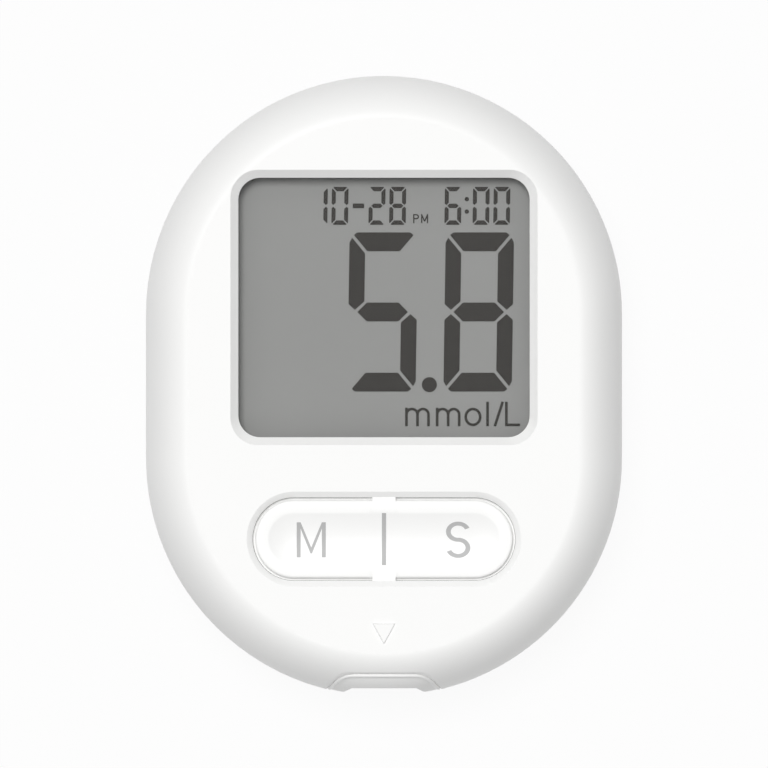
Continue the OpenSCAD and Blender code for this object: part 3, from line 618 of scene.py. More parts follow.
def mount(piece: bpy.types.Object, body: str, *nodes: str) -> None:
    """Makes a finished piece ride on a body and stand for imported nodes.

    Args:
        piece: The piece.
        body: The body.
        nodes: The nodes that it replaces.
    """
    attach(piece, body)
    if nodes:
        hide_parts(*nodes)


def dress_nodes(dress: "Finish", *nodes: str, rounding: float = 0.0) -> None:
    """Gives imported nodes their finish, and softens their edges where asked.

    Args:
        dress: The finish.
        nodes: Names of the nodes.
        rounding: Width of the edge rounding in millimetres.
    """
    for node in nodes:
        ob = frame["nodes"][node]
        if not ob.material_slots:
            ob.data.materials.append(None)
        for place in ob.material_slots:
            place.material = dress.material()
        if rounding:
            limit = math.radians(EDGE_ANGLE)
            modify(ob, "WELD", merge_threshold=MERGE * MM)
            modify(ob, "DECIMATE", decimate_type="DISSOLVE", angle_limit=FLAT_ANGLE)
            modify(ob, "BEVEL", width=rounding * MM, segments=2, angle_limit=limit)
            modify(ob, "WEIGHTED_NORMAL", keep_sharp=True)
        log.info("%s: dressed", node)


def draw_wire(
    name: str, points: Sequence[Vector], thickness: float, dress: "Finish"
) -> bpy.types.Object:
    """Draws a round wire along a path that comes from a formula.

    Args:
        name: Name of the piece.
        points: The path, in millimetres.
        thickness: Diameter of the wire.
        dress: Its finish.

    Returns:
        The wire.
    """
    path = bpy.data.curves.new(name, "CURVE")
    path.dimensions = "3D"
    path.bevel_depth = thickness / 2 * MM
    path.bevel_resolution = WIRE_ROUND
    path.use_fill_caps = True
    line = path.splines.new("POLY")
    line.points.add(len(points) - 1)
    for point, place in zip(line.points, points):
        point.co = (*(place * MM), 1)
    take(add_object(name, path))
    bpy.ops.object.convert(target="MESH")
    bpy.ops.object.shade_smooth_by_angle(angle=math.radians(WIRE_ANGLE))
    return dress_piece(bpy.context.view_layer.objects.active, dress)


# ---------------------------------------------------------------- finishes


def operator(operation: str, reflected: bool = False) -> Callable[["Signal", object], "Signal"]:
    """Makes one of the operators of a Signal.

    Args:
        operation: Operation of its Math node.
        reflected: Whether the signal stands on the right of it.

    Returns:
        The operator.
    """

    def work(self: "Signal", other: object) -> "Signal":
        """Returns the result of the operation on two terms."""
        terms = (other, self) if reflected else (self, other)
        return self.maths(operation, *terms)

    return work


class Signal:
    """A shader socket that takes part in Python arithmetic. A comparison gives 1 or 0."""

    def __init__(self, shader: "Shader", socket: bpy.types.NodeSocket) -> None:
        """Wraps a socket of that shader."""
        self.shader = shader
        self.socket = socket

    def maths(self, operation: str, *terms: object) -> "Signal":
        """Returns the result of a Math node on those terms."""
        inputs = dict(enumerate(terms))
        return self.shader.node("ShaderNodeMath", {"operation": operation}, inputs)

    __add__ = __radd__ = operator("ADD")
    __mul__ = __rmul__ = operator("MULTIPLY")
    __sub__ = operator("SUBTRACT")
    __rsub__ = operator("SUBTRACT", reflected=True)
    __truediv__ = operator("DIVIDE")
    __rtruediv__ = operator("DIVIDE", reflected=True)
    __gt__ = operator("GREATER_THAN")
    __lt__ = operator("LESS_THAN")

    def __abs__(self) -> "Signal":
        """Returns the size of self."""
        return self.maths("ABSOLUTE", self)

    def least(self, other: object, blend: float) -> "Signal":
        """Returns the smaller of two values, blended softly where they are near."""
        return self.maths("SMOOTH_MIN", self, other, blend)

    def held(self) -> "Signal":
        """Returns self held between 0 and 1."""
        settings = {"operation": "MAXIMUM", "use_clamp": True}
        return self.shader.node("ShaderNodeMath", settings, {0: self, 1: 0.0})

    def wrapped(self, period: float) -> "Signal":
        """Returns self repeated over a period, from 0 up to it."""
        return self.maths("FLOORED_MODULO", self, period)

    def swing(self, amount: float) -> "Signal":
        """Returns a pattern's departure from its mean of 0.5, times an amount."""
        return (self - 0.5) * amount


class Shader:
    """The node tree of a material or of the world in the making."""

    def __init__(self, owner: bpy.types.Material | bpy.types.World) -> None:
        """Starts an empty tree.

        Args:
            owner: The material or world that it belongs to.
        """
        owner.use_nodes = True
        self.owner = owner
        self.tree = owner.node_tree
        self.tree.nodes.clear()

    def node(
        self, kind: str, settings: dict[str, object] | None = None,
        inputs: Inputs | None = None, output: int | str = 0,
    ) -> Signal:
        """Adds a node.

        Args:
            kind: The node's type.
            settings: Its properties.
            inputs: Values or links of its sockets, by name or number.
            output: The socket that is wanted.

        Returns:
            That output, or nothing where the node ends the tree.
        """
        made = self.tree.nodes.new(kind)
        for name, value in (settings or {}).items():
            setattr(made, name, value)
        for name, value in (inputs or {}).items():
            socket = made.inputs[name]
            if isinstance(value, Signal):
                self.tree.links.new(value.socket, socket)
            else:
                wide = socket.type == "RGBA" and len(value) == 3
                socket.default_value = (*value, 1) if wide else value
        return Signal(self, made.outputs[output]) if made.outputs else None

    def position(self) -> Signal:
        """Returns the place on the piece in millimetres."""
        inputs = {0: self.node("ShaderNodeTexCoord", output="Object"), "Scale": 1 / MM}
        return self.node("ShaderNodeVectorMath", {"operation": "SCALE"}, inputs)

    def axes(self) -> tuple[Signal, Signal, Signal]:
        """Returns the place's X, Y and Z in millimetres."""
        split = self.node("ShaderNodeSeparateXYZ", inputs={0: self.position()}).socket.node
        return tuple(Signal(self, socket) for socket in split.outputs)

    def noise(
        self, size: float, detail: float = 2.0, stretch: Sequence[float] = (1, 1, 1)
    ) -> Signal:
        """Makes a soft random pattern.

        Args:
            size: Size of its blotches in millimetres.
            detail: How much finer pattern is added.
            stretch: Scale along each axis.

        Returns:
            A value about 0.5.
        """
        inputs = {"Vector": self.position(), "Scale": tuple(stretch)}
        place = self.node("ShaderNodeMapping", inputs=inputs)
        inputs = {"Vector": place, "Scale": 1 / size, "Detail": detail}
        return self.node("ShaderNodeTexNoise", inputs=inputs)

    def mix(self, factor: object, first: object, second: object) -> Signal:
        """Returns a colour between two, by a factor."""
        inputs = {0: factor, 6: first, 7: second}
        return self.node("ShaderNodeMix", {"data_type": "RGBA"}, inputs, output=2)

    def bump(self, height: Signal, depth: float, over: Signal | None = None) -> Signal:
        """Returns a normal for a height from 0 to 1 over a depth in millimetres.

        Args:
            height: The height.
            depth: Its depth.
            over: A normal that it is added to.

        Returns:
            The normal.
        """
        inputs = {"Strength": 1.0, "Distance": depth * MM, "Height": height}
        if over:
            inputs["Normal"] = over
        return self.node("ShaderNodeBump", inputs=inputs)

    def seen(self) -> Signal:
        """Tells what the camera sees from what only lights the scene.

        Returns:
            1 for what it sees straight, as a reflection or through glass.
        """
        rays = self.node("ShaderNodeLightPath").socket.node
        names = ("Is Camera Ray", "Is Glossy Ray", "Is Transmission Ray")
        return sum((Signal(self, rays.outputs[name]) for name in names), start=0)

    def principled(self, inputs: Inputs) -> Signal:
        """Returns the surface of a Principled shader."""
        return self.node("ShaderNodeBsdfPrincipled", inputs=inputs)

    def blend(self, factor: Signal, first: Signal, second: Signal) -> Signal:
        """Returns a surface between two, by a factor."""
        return self.node("ShaderNodeMixShader", inputs={0: factor, 1: first, 2: second})

    def close(self, surface: Signal) -> bpy.types.Material | bpy.types.World:
        """Ends the tree.

        Args:
            surface: The surface that it ends in.

        Returns:
            The material or world.
        """
        place = "World" if isinstance(self.owner, bpy.types.World) else "Material"
        self.node(f"ShaderNodeOutput{place}", inputs={"Surface": surface})
        return self.owner


@dataclass(frozen=True)
class Finish:
    """A surface finish. The first piece that takes it makes its material.

    Attributes:
        name: Name of the material.
    """

    name: str

    def material(self) -> bpy.types.Material:
        """Finds the material, or makes it.

        Returns:
            The material.
        """
        made = bpy.data.materials.get(self.name)
        if not made:
            shader = Shader(bpy.data.materials.new(self.name))
            made = shader.close(self.surface(shader))
        return made

    def surface(self, shader: Shader) -> Signal:
        """Builds the surface in a new shader and returns it."""
        raise NotImplementedError


@dataclass(frozen=True)
class MouldedPlastic(Finish):
    """Injection-moulded plastic with a fine spark-eroded grain.

    Attributes:
        tone: Colour.
        roughness: Mean roughness.
        grain: Size of the grain in millimetres.
        depth: Depth of the grain in millimetres.
        drift: Share by which the colour drifts over the piece.
    """

    tone: Colour
    roughness: float = 0.48
    grain: float = 0.12
    depth: float = 0.002
    drift: float = 0.015

    def surface(self, shader: Shader) -> Signal:
        """Builds the surface in a new shader.

        Args:
            shader: The shader.

        Returns:
            The surface.
        """
        cloud = shader.noise(size=9.0)
        grain = shader.noise(self.grain)
        return shader.principled({
            "Base Color": shader.mix(cloud, shade(self.tone, 1 - self.drift), self.tone),
            "Roughness": self.roughness + grain.swing(0.10) + cloud.swing(0.06),
            "Normal": self.relief(shader, grain),
            "IOR": 1.52,
        })

    def relief(self, shader: Shader, grain: Signal) -> Signal:
        """Returns the normal of the surface with its grain."""
        return shader.bump(grain, self.depth)


@dataclass(frozen=True)
class Arch:
    """The arch in the cover's rim that the strip port fills: a flat top between two shoulders.

    Attributes:
        top: Y of the flat top.
        flat: Length of the flat top.
        shoulder: Radius of the shoulders, which go over into lines at 45 degrees.
    """

    top: float = -39.8
    flat: float = 8.6
    shoulder: float = 3.6

    @property
    def half_top(self) -> float:
        """Returns half the width where the top and the slanting lines would meet."""
        return self.flat / 2 + self.shoulder * HALF_CORNER


ARCH = Arch()


@dataclass(frozen=True)
class ArchPlastic(MouldedPlastic):
    """Moulded plastic whose edge along the arch is rolled.

    Attributes:
        inside: True for the port inside the arch, false for the cover round it.
        roll: Width of the rolled edge in millimetres.
        fall: How far the edge rolls down in millimetres.
        ends: Share of the fall that is left at the arch's ends.
        fade: Where the fall has reached that share, from the middle, and over what length.
        rise: How much the surface goes on rising away from the edge.
        softness: How softly the top goes over into the slants, as a share of the shoulder.
    """

    inside: bool = True
    roll: float = 0.42
    fall: float = 0.55
    ends: float = 0.6
    fade: Pair = (7.0, 2.4)
    rise: float = 0.34
    softness: float = 0.25

    def relief(self, shader: Shader, grain: Signal) -> Signal:
        """Builds the normal of the grain with the rolled edge on top.

        Args:
            shader: The shader.
            grain: The grain's height.

        Returns:
            The normal.
        """
        x, y, _ = shader.axes()
        under = ARCH.top - y
        slant = (under - (abs(x) - ARCH.half_top)) * math.sqrt(0.5)
        away = under.least(slant, ARCH.shoulder * self.softness) * (1.0 if self.inside else -1.0)
        place, length = self.fade
        share = self.ends + ((place - abs(x)) / length).held() * (1 - self.ends)
        rolled = ((away / self.roll).held() - 1.0) * share * self.fall + away * self.rise
        return shader.bump(rolled, 1.0, over=shader.bump(grain, self.depth))


@dataclass(frozen=True)
class ClearPane(Finish):
    """Clear acrylic or glass with a faint tint and the reflection of its face.

    Attributes:
        tint: Colour of what passes through.
        roughness: Roughness of the reflection.
        index: Index of refraction that the coated face reflects like.
    """

    tint: Colour
    roughness: float = 0.04
    index: float = 1.45

    def surface(self, shader: Shader) -> Signal:
        """Builds the surface in a new shader.

        Args:
            shader: The shader.

        Returns:
            The surface.
        """
        clear = shader.node("ShaderNodeBsdfTransparent", inputs={"Color": self.tint})
        roughness = self.roughness + shader.noise(size=3.0) * 0.01
        inputs = {"Color": PURE_WHITE, "Roughness": roughness}
        gloss = shader.node("ShaderNodeBsdfGlossy", inputs=inputs)
        outside = 1.0 - shader.node("ShaderNodeNewGeometry", output="Backfacing")
        edge = shader.node("ShaderNodeFresnel", inputs={"IOR": self.index}) * outside
        return shader.blend(edge, clear, gloss)


@dataclass(frozen=True)
class DisplayGlass(Finish):
    """The grey of a reflective display: a polariser film over a fine metal grain.

    Attributes:
        tone: Colour of the film.
        roughness: Mean roughness.
        index: Index of refraction against the glass that it is bonded to.
    """

    tone: Colour
    roughness: float = 0.5
    index: float = 1.04

    def surface(self, shader: Shader) -> Signal:
        """Builds the surface in a new shader.

        Args:
            shader: The shader.

        Returns:
            The surface.
        """
        fleck = shader.noise(size=0.09, detail=3.0)
        pattern = fleck * 0.6 + shader.noise(size=14.0) * 0.4
        return shader.principled({
            "Base Color": shader.mix(pattern, shade(self.tone, 0.96), shade(self.tone, 1.04)),
            "Roughness": self.roughness + fleck.swing(0.15),
            "Normal": shader.bump(fleck, 0.001),
            "IOR": self.index,
        })


@dataclass(frozen=True)
class DrawnMetal(Finish):
    """Rolled or drawn metal with fine lines along one axis.

    Attributes:
        tone: Colour.
        roughness: Mean roughness.
        lines: Scale of the pattern along X, Y and Z: small along the lines.
    """

    tone: Colour
    roughness: float = 0.28
    lines: tuple[float, float, float] = (1.0, 0.08, 1.0)

    def surface(self, shader: Shader) -> Signal:
        """Builds the surface in a new shader.

        Args:
            shader: The shader.

        Returns:
            The surface.
        """
        lines = shader.noise(size=0.12, detail=3.0, stretch=self.lines)
        stain = shader.noise(size=2.5)
        pattern = lines * 0.5 + stain * 0.5
        return shader.principled({
            "Base Color": shader.mix(pattern, shade(self.tone, 0.8), self.tone),
            "Metallic": 1.0,
            "Roughness": self.roughness + lines.swing(0.2) + stain.swing(0.15),
            "Normal": shader.bump(lines, 0.002),
        })


@dataclass(frozen=True)
class SolderMask(Finish):
    """A circuit board: lacquer over copper tracks, with the laminate showing at its edge.

    Attributes:
        lacquer: Colour of the lacquer over bare laminate.
        track: Colour of the lacquer over copper.
        laminate: Colour of the cut edge.
        tin: Colour of a plated hole.
        pitch: Distance between tracks in millimetres.
        track_share: Half width of a track, as a share of the pitch.
        bare_share: Value of the pattern up to which there are no tracks.
        hole_radius: Radius of a plated hole.
        hole_shift: How far the holes' grid is moved along X and Y.
        skin: Thickness of the lacquer.
    """

    lacquer: Colour
    track: Colour
    laminate: Colour
    tin: Colour = linear(205, 205, 200)
    pitch: float = 1.27
    track_share: float = 0.16
    bare_share: float = 0.47
    hole_radius: float = 0.3
    hole_shift: Pair = (0.4, 0.7)
    skin: float = 0.03

    def surface(self, shader: Shader) -> Signal:
        """Builds the surface in a new shader.

        Args:
            shader: The shader.

        Returns:
            The surface.
        """
        x, y, z = shader.axes()
        bend = shader.noise(size=11.0)
        across = abs((x + (bend > 0.5) * y).wrapped(self.pitch) - self.pitch / 2)
        copper = shader.noise(size=6.0) > self.bare_share
        track = (across < self.pitch * self.track_share) * copper
        shift_x, shift_y = self.hole_shift
        hole_x = abs((x + shift_x).wrapped(3 * self.pitch) - self.pitch)
        hole_y = abs((y + shift_y).wrapped(4 * self.pitch) - self.pitch)
        hole = (hole_x * hole_x + hole_y * hole_y) < self.hole_radius**2
        face = shader.mix(hole, shader.mix(track, self.lacquer, self.track), self.tin)
        low, high = (corner.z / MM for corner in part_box("main_board"))
        cut_edge = (z > low + self.skin) * (z < high - self.skin)
        return shader.principled({
            "Base Color": shader.mix(cut_edge, face, self.laminate),
            "Roughness": 0.32 + cut_edge * 0.4 + bend.swing(0.08),
            "Metallic": hole * 0.9,
            "Normal": shader.bump(track, 0.035),
        })


@dataclass(frozen=True)
class LayeredRubber(Finish):
    """Elastomer connector: thin carbon layers between insulating ones, along X.

    Attributes:
        dark: Colour of the carbon layers.
        light: Colour of the insulating layers.
        pitch: Distance between carbon layers in millimetres.
    """

    dark: Colour
    light: Colour
    pitch: float = 0.18

    def surface(self, shader: Shader) -> Signal:
        """Builds the surface in a new shader.

        Args:
            shader: The shader.

        Returns:
            The surface.
        """
        layer = shader.axes()[0].wrapped(self.pitch) > self.pitch / 2
        return shader.principled({
            "Base Color": shader.mix(layer, self.light, self.dark),
            "Roughness": 0.7 + shader.noise(size=0.5) * 0.15,
        })


@dataclass(frozen=True)
class CellWrap(Finish):
    """Printed shrink film of a cell, with a band at its button end.

    Attributes:
        edge: Place along Y in millimetres where the band begins.
        side: 1 where the band lies towards +Y, -1 towards -Y.
        main: Colour of the long part.
        band: Colour of the band.
        line: Colour of the line between them.
        line_width: Half width of that line.
    """

    edge: float
    side: int
    main: Colour = linear(66, 74, 86)
    band: Colour = linear(164, 169, 176)
    line: Colour = linear(226, 227, 228)
    line_width: float = 0.35

    def surface(self, shader: Shader) -> Signal:
        """Builds the surface in a new shader.

        Args:
            shader: The shader.

        Returns:
            The surface.
        """
        along = (shader.axes()[1] - self.edge) * float(self.side)
        film = shader.mix(along > 0, self.main, self.band)
        ripple = shader.noise(size=0.8, stretch=(1, 0.2, 1))
        return shader.principled({
            "Base Color": shader.mix(abs(along) < self.line_width, film, self.line),
            "Metallic": 0.55,
            "Roughness": 0.27 + ripple.swing(0.12),
            "Normal": shader.bump(ripple, 0.006),
            "Coat Weight": 0.4,
        })


@dataclass(frozen=True)
class PrintedInk(Finish):
    """Pad-printed ink with slightly uneven cover.

    Attributes:
        tone: Colour.
    """

    tone: Colour

    def surface(self, shader: Shader) -> Signal:
        """Builds the surface in a new shader.

        Args:
            shader: The shader.

        Returns:
            The surface.
        """
        cover = shader.noise(size=0.25, detail=3.0)
        return shader.principled({
            "Base Color": shader.mix(cover, self.tone, shade(self.tone, 1.12)),
            "Roughness": 0.45 + cover.swing(0.1),
        })


@dataclass(frozen=True)
class StudioWhite(Finish):
    """Pale floor that fades to white for the camera and still takes the object's shadow.

    Attributes:
        tone: Colour of the floor.
        lift: Share of plain white that the camera and reflections see.
    """

    tone: Colour = (0.76, 0.76, 0.76)
    lift: float = 0.93

    def surface(self, shader: Shader) -> Signal:
        """Builds the surface in a new shader.

        Args:
            shader: The shader.

        Returns:
            The surface.
        """
        paper = shader.node("ShaderNodeBsdfDiffuse", inputs={"Color": self.tone})
        inputs = {"Color": PURE_WHITE, "Strength": 1.0}
        glow = shader.node("ShaderNodeEmission", inputs=inputs)
        return shader.blend(shader.seen() * self.lift, paper, glow)


WHITE = linear(248, 248, 247)
SHELL = MouldedPlastic("shell_plastic", WHITE)
COVER_SKIN = ArchPlastic("cover_plastic", WHITE, inside=False, roll=0.28, fall=0.1, rise=0.0)
NOSE_SKIN = ArchPlastic("nose_plastic", WHITE, fall=0.0)
KEY_SKIN = MouldedPlastic("key_plastic", WHITE, roughness=0.38, grain=0.09, depth=0.0012)
LEGEND = PrintedInk("legend_ink", linear(172, 172, 172))
PANE = ClearPane("window_acrylic", (0.985, 0.985, 0.985), index=1.24)
FRONT_GLASS = ClearPane("display_front_glass", (0.97, 0.972, 0.97), roughness=0.08, index=1.12)
FILM = DisplayGlass("display_film", linear(166, 166, 165))
MIRROR = DisplayGlass("reflector_foil", linear(190, 190, 188), roughness=0.3)
LIT = DisplayGlass("lit_segments", linear(72, 70, 68))
# Painted light: the gasket is pale grey instead of black, so the shade round the display's edges
# comes out lighter.
SHADE_LIFTING_FOAM = MouldedPlastic("gasket_foam", linear(215, 215, 214), roughness=0.8, grain=0.2, depth=0.02)
FRAME_WHITE = MouldedPlastic("frame_plastic", linear(232, 232, 229), roughness=0.5)
ZEBRA = LayeredRubber("zebra_rubber", linear(38, 38, 40), linear(120, 120, 122))
BOARD = SolderMask("board_lacquer", linear(24, 84, 52), linear(44, 118, 74), linear(196, 178, 120))
EPOXY = MouldedPlastic("chip_epoxy", linear(36, 37, 40), roughness=0.6, grain=0.06, depth=0.004)
SWITCH = MouldedPlastic("switch_plastic", linear(74, 76, 80), roughness=0.5)
PLUNGER = MouldedPlastic("plunger_plastic", linear(30, 31, 34), roughness=0.45)
NICKEL = DrawnMetal("nickel_plate", linear(204, 205, 206))
SPRING_WIRE = DrawnMetal("spring_wire", linear(214, 214, 212), roughness=0.22, lines=(1, 1, 1))
BRASS = DrawnMetal("brass_disc", linear(214, 178, 96), roughness=0.3, lines=(1, 1, 1))
GOLD = DrawnMetal("contact_plating", linear(222, 186, 104), roughness=0.22)
STEEL = DrawnMetal("screw_steel", linear(158, 162, 168), roughness=0.34, lines=(1, 1, 1))


# ---------------------------------------------------------------- covers


@dataclass(frozen=True)
class Pillars:
    """Hollow pillars under the front cover, each with its mirror image on the left.

    Attributes:
        places: Where the right-hand ones stand.
        radius: Their radius.
        hole: Radius of their hole.
        foot: Height of their lower end.
        top: Height of the hole's closed end.
    """

    places: tuple[Pair, ...]
    radius: float
    hole: float
    foot: float
    top: float


@dataclass
class Case:
    """The two covers of the case, and the port in the nose between them.

    Attributes:
        width: Width of the outline.
        length: Length of the outline.
        thickness: Height of the case.
        split: Height of the parting line.
        wall: Wall of the covers.
        rim_run: How far the front edge's rounding reaches in.
        back_run: How far the back edge's rounding reaches in.
        rim_steps: Steps round such an edge.
        lip_recess: Depth and height of the recess for the rear cover's lip.
        seam: Depth and height of the shadow line along the parting line.
        window: Opening over the display.
        band: Width and depth of the sloping band round it, and the spread of its corners.
        window_floor: Height from which the opening is cut.
        rooms: Rooms behind the window, for the display's frame and for the window's edge,
            each with its lowest and highest Z.
        bosses: Bosses for the case's screws.
        posts: Posts for the board's screws.
        stake: Radius, distance from the keys' middle and foot of the keys' stakes.
        root: How deep pillars and stakes run into the wall.
        notch: Notch in the nose.
        notch_flare: How much wider the notch is at its outer end.
        port_gap: How far the port's nose stays inside the outline and the arch.
        port_foot: Height of the nose's underside.
        arch_gap: How far the cover's arch stays outside.
        arch_foot: Height of the underside of that arch.
        neck: Neck of the port.
        flange: Flange that holds it in the covers.
        slot: Slot for the strip.
        funnel: Funnel in front of the slot.
        bead: Radius of the port's rolled edge and how deep its middle lies.
        bead_steps: Points on half the flat top, and steps round a shoulder.
        bead_ends: Places where the bead has points as it runs on down the slants.
    """

    width: float = 66.0
    length: float = 86.0
    thickness: float = 22.0
    split: float = 9.5
    wall: float = 1.8
    rim_run: float = 6.0
    back_run: float = 9.0
    rim_steps: int = 22
    lip_recess: Pair = (0.85, 1.75)
    seam: Pair = (0.25, 0.2)
    window: Outline = Outline(40.25, 35.85, 3.0, (0, 10.86))
    band: tuple[float, float, float] = (0.8, 1.2, 0.28)
    window_floor: float = 18.9
    rooms: tuple[tuple[Outline, Pair], ...] = (
        (Outline(44.5, 40.2, 3.0, (0, 11)), (15.2, 18.925)),
        (Outline(42.6, 38.3, 3.5, (0, 11)), (18.85, 20.21)),
    )
    bosses: Pillars = Pillars(((25.7, 12.0), (22.5, -21.25)), 2.4, 1.12, 9.5, 14.8)
    posts: Pillars = Pillars(((10.0, 34.15), (10.0, -30.55)), 2.2, 0.92, 15.2, 19.0)
    stake: tuple[float, float, float] = (0.6, 7.05, 19.0)
    root: float = 0.4
    notch: Block = Block(8.9, (-46, -41.8), (-OVER, 24))
    notch_flare: float = 2.84
    port_gap: float = 0.1
    port_foot: float = 6.0
    arch_gap: float = 0.08
    arch_foot: float = 5.9
    neck: Block = Block(12, (-40.5, -38), (7.5, 13.5))
    flange: Block = Block(18, (-39.2, -38), (7.5, 13.5))
    slot: Block = Block(7.4, (-44, -37), (11.4, 12.8))
    funnel: Block = Block(8.6, (-42.2, -41), (10.8, 13.4))
    bead: Pair = (0.34, 0.27)
    bead_steps: tuple[int, int] = (8, 10)
    bead_ends: tuple[float, ...] = (0.15, 0.3, 0.45, 0.6, 0.75, 0.9, 0.96, 1.0)

    @property
    def rise(self) -> float:
        """Returns the height of the face over the parting line."""
        return self.thickness - self.split

    @property
    def outline(self) -> Outline:
        """Returns the case's oval outline."""
        return Outline(self.width, self.length, self.width / 2, segments=ROUND_SEGMENTS)

    def edge(self, run: float, rise: float, inset: float, first: float, last: float) -> list[Ring]:
        """Follows a quarter ellipse, moved in square to itself.

        Args:
            run: Half axis across.
            rise: Half axis along Z, below zero for the back.
            inset: How far the curve is moved in.
            first: First angle in degrees, 0 at the parting line.
            last: Last angle in degrees, 90 at the flat face.

        Returns:
            The rings of the curve.
        """
        rings = []
        for turn in turns(first, last, self.rim_steps):
            slope = math.hypot(rise * math.cos(turn), run * math.sin(turn))
            across = run * math.cos(turn) - inset * abs(rise) * math.cos(turn) / slope
            up = rise * math.sin(turn) - math.copysign(inset * run * math.sin(turn) / slope, rise)
            rings.append(Ring(across - run, self.split + up))
        return rings

    def front_shell(self) -> Form:
        """Sweeps the front cover's wall in one piece, from the ceiling out to the face.

        Returns:
            The shell.
        """
        depth, height = self.lip_recess
        inner = self.edge(self.rim_run, self.rise, self.wall, 90, 0)
        kept = [ring for ring in inner if ring.z > self.split + height]
        deep, tall = self.seam
        steps = (
            (kept[-1].grow, height), (-depth, height), (-depth, 0), (-deep, 0), (-deep, tall),
            (0, tall),
        )
        bottom = [Ring(grow, self.split + up) for grow, up in steps]
        outer = self.edge(self.rim_run, self.rise, 0, 0, 90)[1:]
        return Form("front_cover_shell").loft(self.outline, kept + bottom + outer)

    def window_tool(self) -> Form:
        """Makes the tool that opens the window with its sloping band.

        Returns:
            The tool.
        """
        wide, deep, spread = self.band
        return Form("window_tool").loft(self.window, [
            Ring(0, self.window_floor), Ring(0, self.thickness - deep),
            Ring(wide, self.thickness, spread), Ring(wide, self.thickness + OVER, spread),
        ])

    def arch_tool(self, name: str, grow: float, low: float) -> Form:
        """Makes the arch through which the strip port reaches the front.

        Args:
            name: Name of the tool.
            grow: Gap by which it is larger than the port.
            low: Its underside.

        Returns:
            The tool.
        """
        half_top = ARCH.half_top + grow * HALF_CORNER
        high = ARCH.top + grow
        reach = high + self.length / 2 + OVER
        levels = (low, self.thickness + 2 * OVER)
        tool = Form(name).block(Block(2 * half_top, (high - reach, high), levels))
        tool.taper(Axis.Y, -1, ((half_top + reach) / half_top, 1, 1), (0, ARCH.top, 0))
        tool.pick_edges(lambda one, other: (
            min(one.y, other.y) > high - MERGE and abs(one.x - other.x) < MERGE
        ))
        width = (ARCH.shoulder + grow) * HALF_CORNER
        bpy.ops.mesh.bevel(offset=width, segments=8, affect="EDGES")
        return tool

    def notch_tool(self) -> Form:
        """Returns the tool for the notch in the nose, wider towards the outside."""
        notch = Form("notch_tool").block(self.notch)
        return notch.taper(Axis.Y, -1, (self.notch_flare, 1, 1), (0, self.notch.ends[0], 0))

    def add_supports(self, form: Form) -> None:
        """Adds the pillars and stakes under the front cover.

        Args:
            form: The cover.
        """
        ceiling = self.thickness - self.wall + self.root
        supports, holes = Form("supports"), Form("support_holes")
        for kind in (self.bosses, self.posts):
            for x, y in kind.places:
                for at in ((-x, y), (x, y)):
                    supports.loft(circle(kind.radius, at), [Ring(0, kind.foot), Ring(0, ceiling)])
                    rings = [Ring(0, kind.foot - OVER), Ring(0, kind.top)]
                    holes.loft(circle(kind.hole, at), rings)
        radius, away, foot = self.stake
        for side in (-1, 1):
            at = (0, Keypad.at[1] + side * away)
            supports.loft(circle(radius, at), [Ring(0, foot), Ring(0, ceiling)])
        form.join(supports).cut(holes)

    def build_front(self) -> None:
        """Builds the front cover with its arrow."""
        form = self.front_shell()
        self.add_supports(form)
        for outline, levels in self.rooms:
            form.cut(Form("room_tool").loft(outline, [Ring(0, level) for level in levels]))
        form.cut(self.window_tool()).cut(Keypad().opening_tool())
        form.cut(self.arch_tool("arch_tool", self.arch_gap, self.arch_foot))
        form.round_edges(width=0.09, angle=30)
        mount(Arrow().form().finish(SHELL, "shell_white"), "case")
        mount(form.finish(COVER_SKIN, "shell_white"), "case", "front_cover")

    def build_rear(self) -> None:
        """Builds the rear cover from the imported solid, with its edges rounded."""
        form = Form.from_node("rear_cover", "rear_cover_shell").cut(self.notch_tool())
        form.round_edges(width=0.12, angle=40)
        mount(form.finish(SHELL, "shell_white"), "case", "rear_cover")

    def build_port(self) -> None:
        """Builds the strip port: the nose inside the arch, with its neck and slot."""
        back = self.edge(self.back_run, -self.split, self.port_gap, 90, 0)
        front = self.edge(self.rim_run, self.rise, self.port_gap, 0, 90)
        form = Form("strip_port_nose").loft(self.outline, back + front[1:])
        form.keep(self.arch_tool("port_tool", -self.port_gap, self.port_foot))
        form.cut(self.notch_tool())
        form.round_edges(width=0.08, angle=38, segments=3)
        flange = Form("port_flange").block(self.flange).round_edges(width=0.2)
        form.join(Form("port_neck").block(self.neck).join(flange))
        mouth, slot = self.funnel, self.slot
        factors = (slot.width / mouth.width, 1, slot.height / mouth.height)
        funnel = Form("funnel_tool").block(mouth)
        funnel.taper(Axis.Y, 1, factors, (0, mouth.ends[1], sum(mouth.levels) / 2))
        form.cut(Form("slot_tool").block(slot)).cut(funnel)
        mount(form.finish(NOSE_SKIN, "shell_white", sharp=18), "case", "strip_port")

    def on_nose(self, x: float, y: float, sunk: float) -> Vector:
        """Finds the point under the nose's rounded surface at a place.

        Args:
            x: The place along X.
            y: The place along Y.
            sunk: How deep the point lies under the surface.

        Returns:
            The point.
        """
        out = Vector((x, y + (self.length - self.width) / 2, 0))
        turn = math.acos(1 - (self.width / 2 - out.length) / self.rim_run)
        facing = out.normalized() * math.cos(turn) / self.rim_run
        facing.z = math.sin(turn) / self.rise
        place = Vector((x, y, self.split + self.rise * math.sin(turn)))
        return place - facing.normalized() * sunk

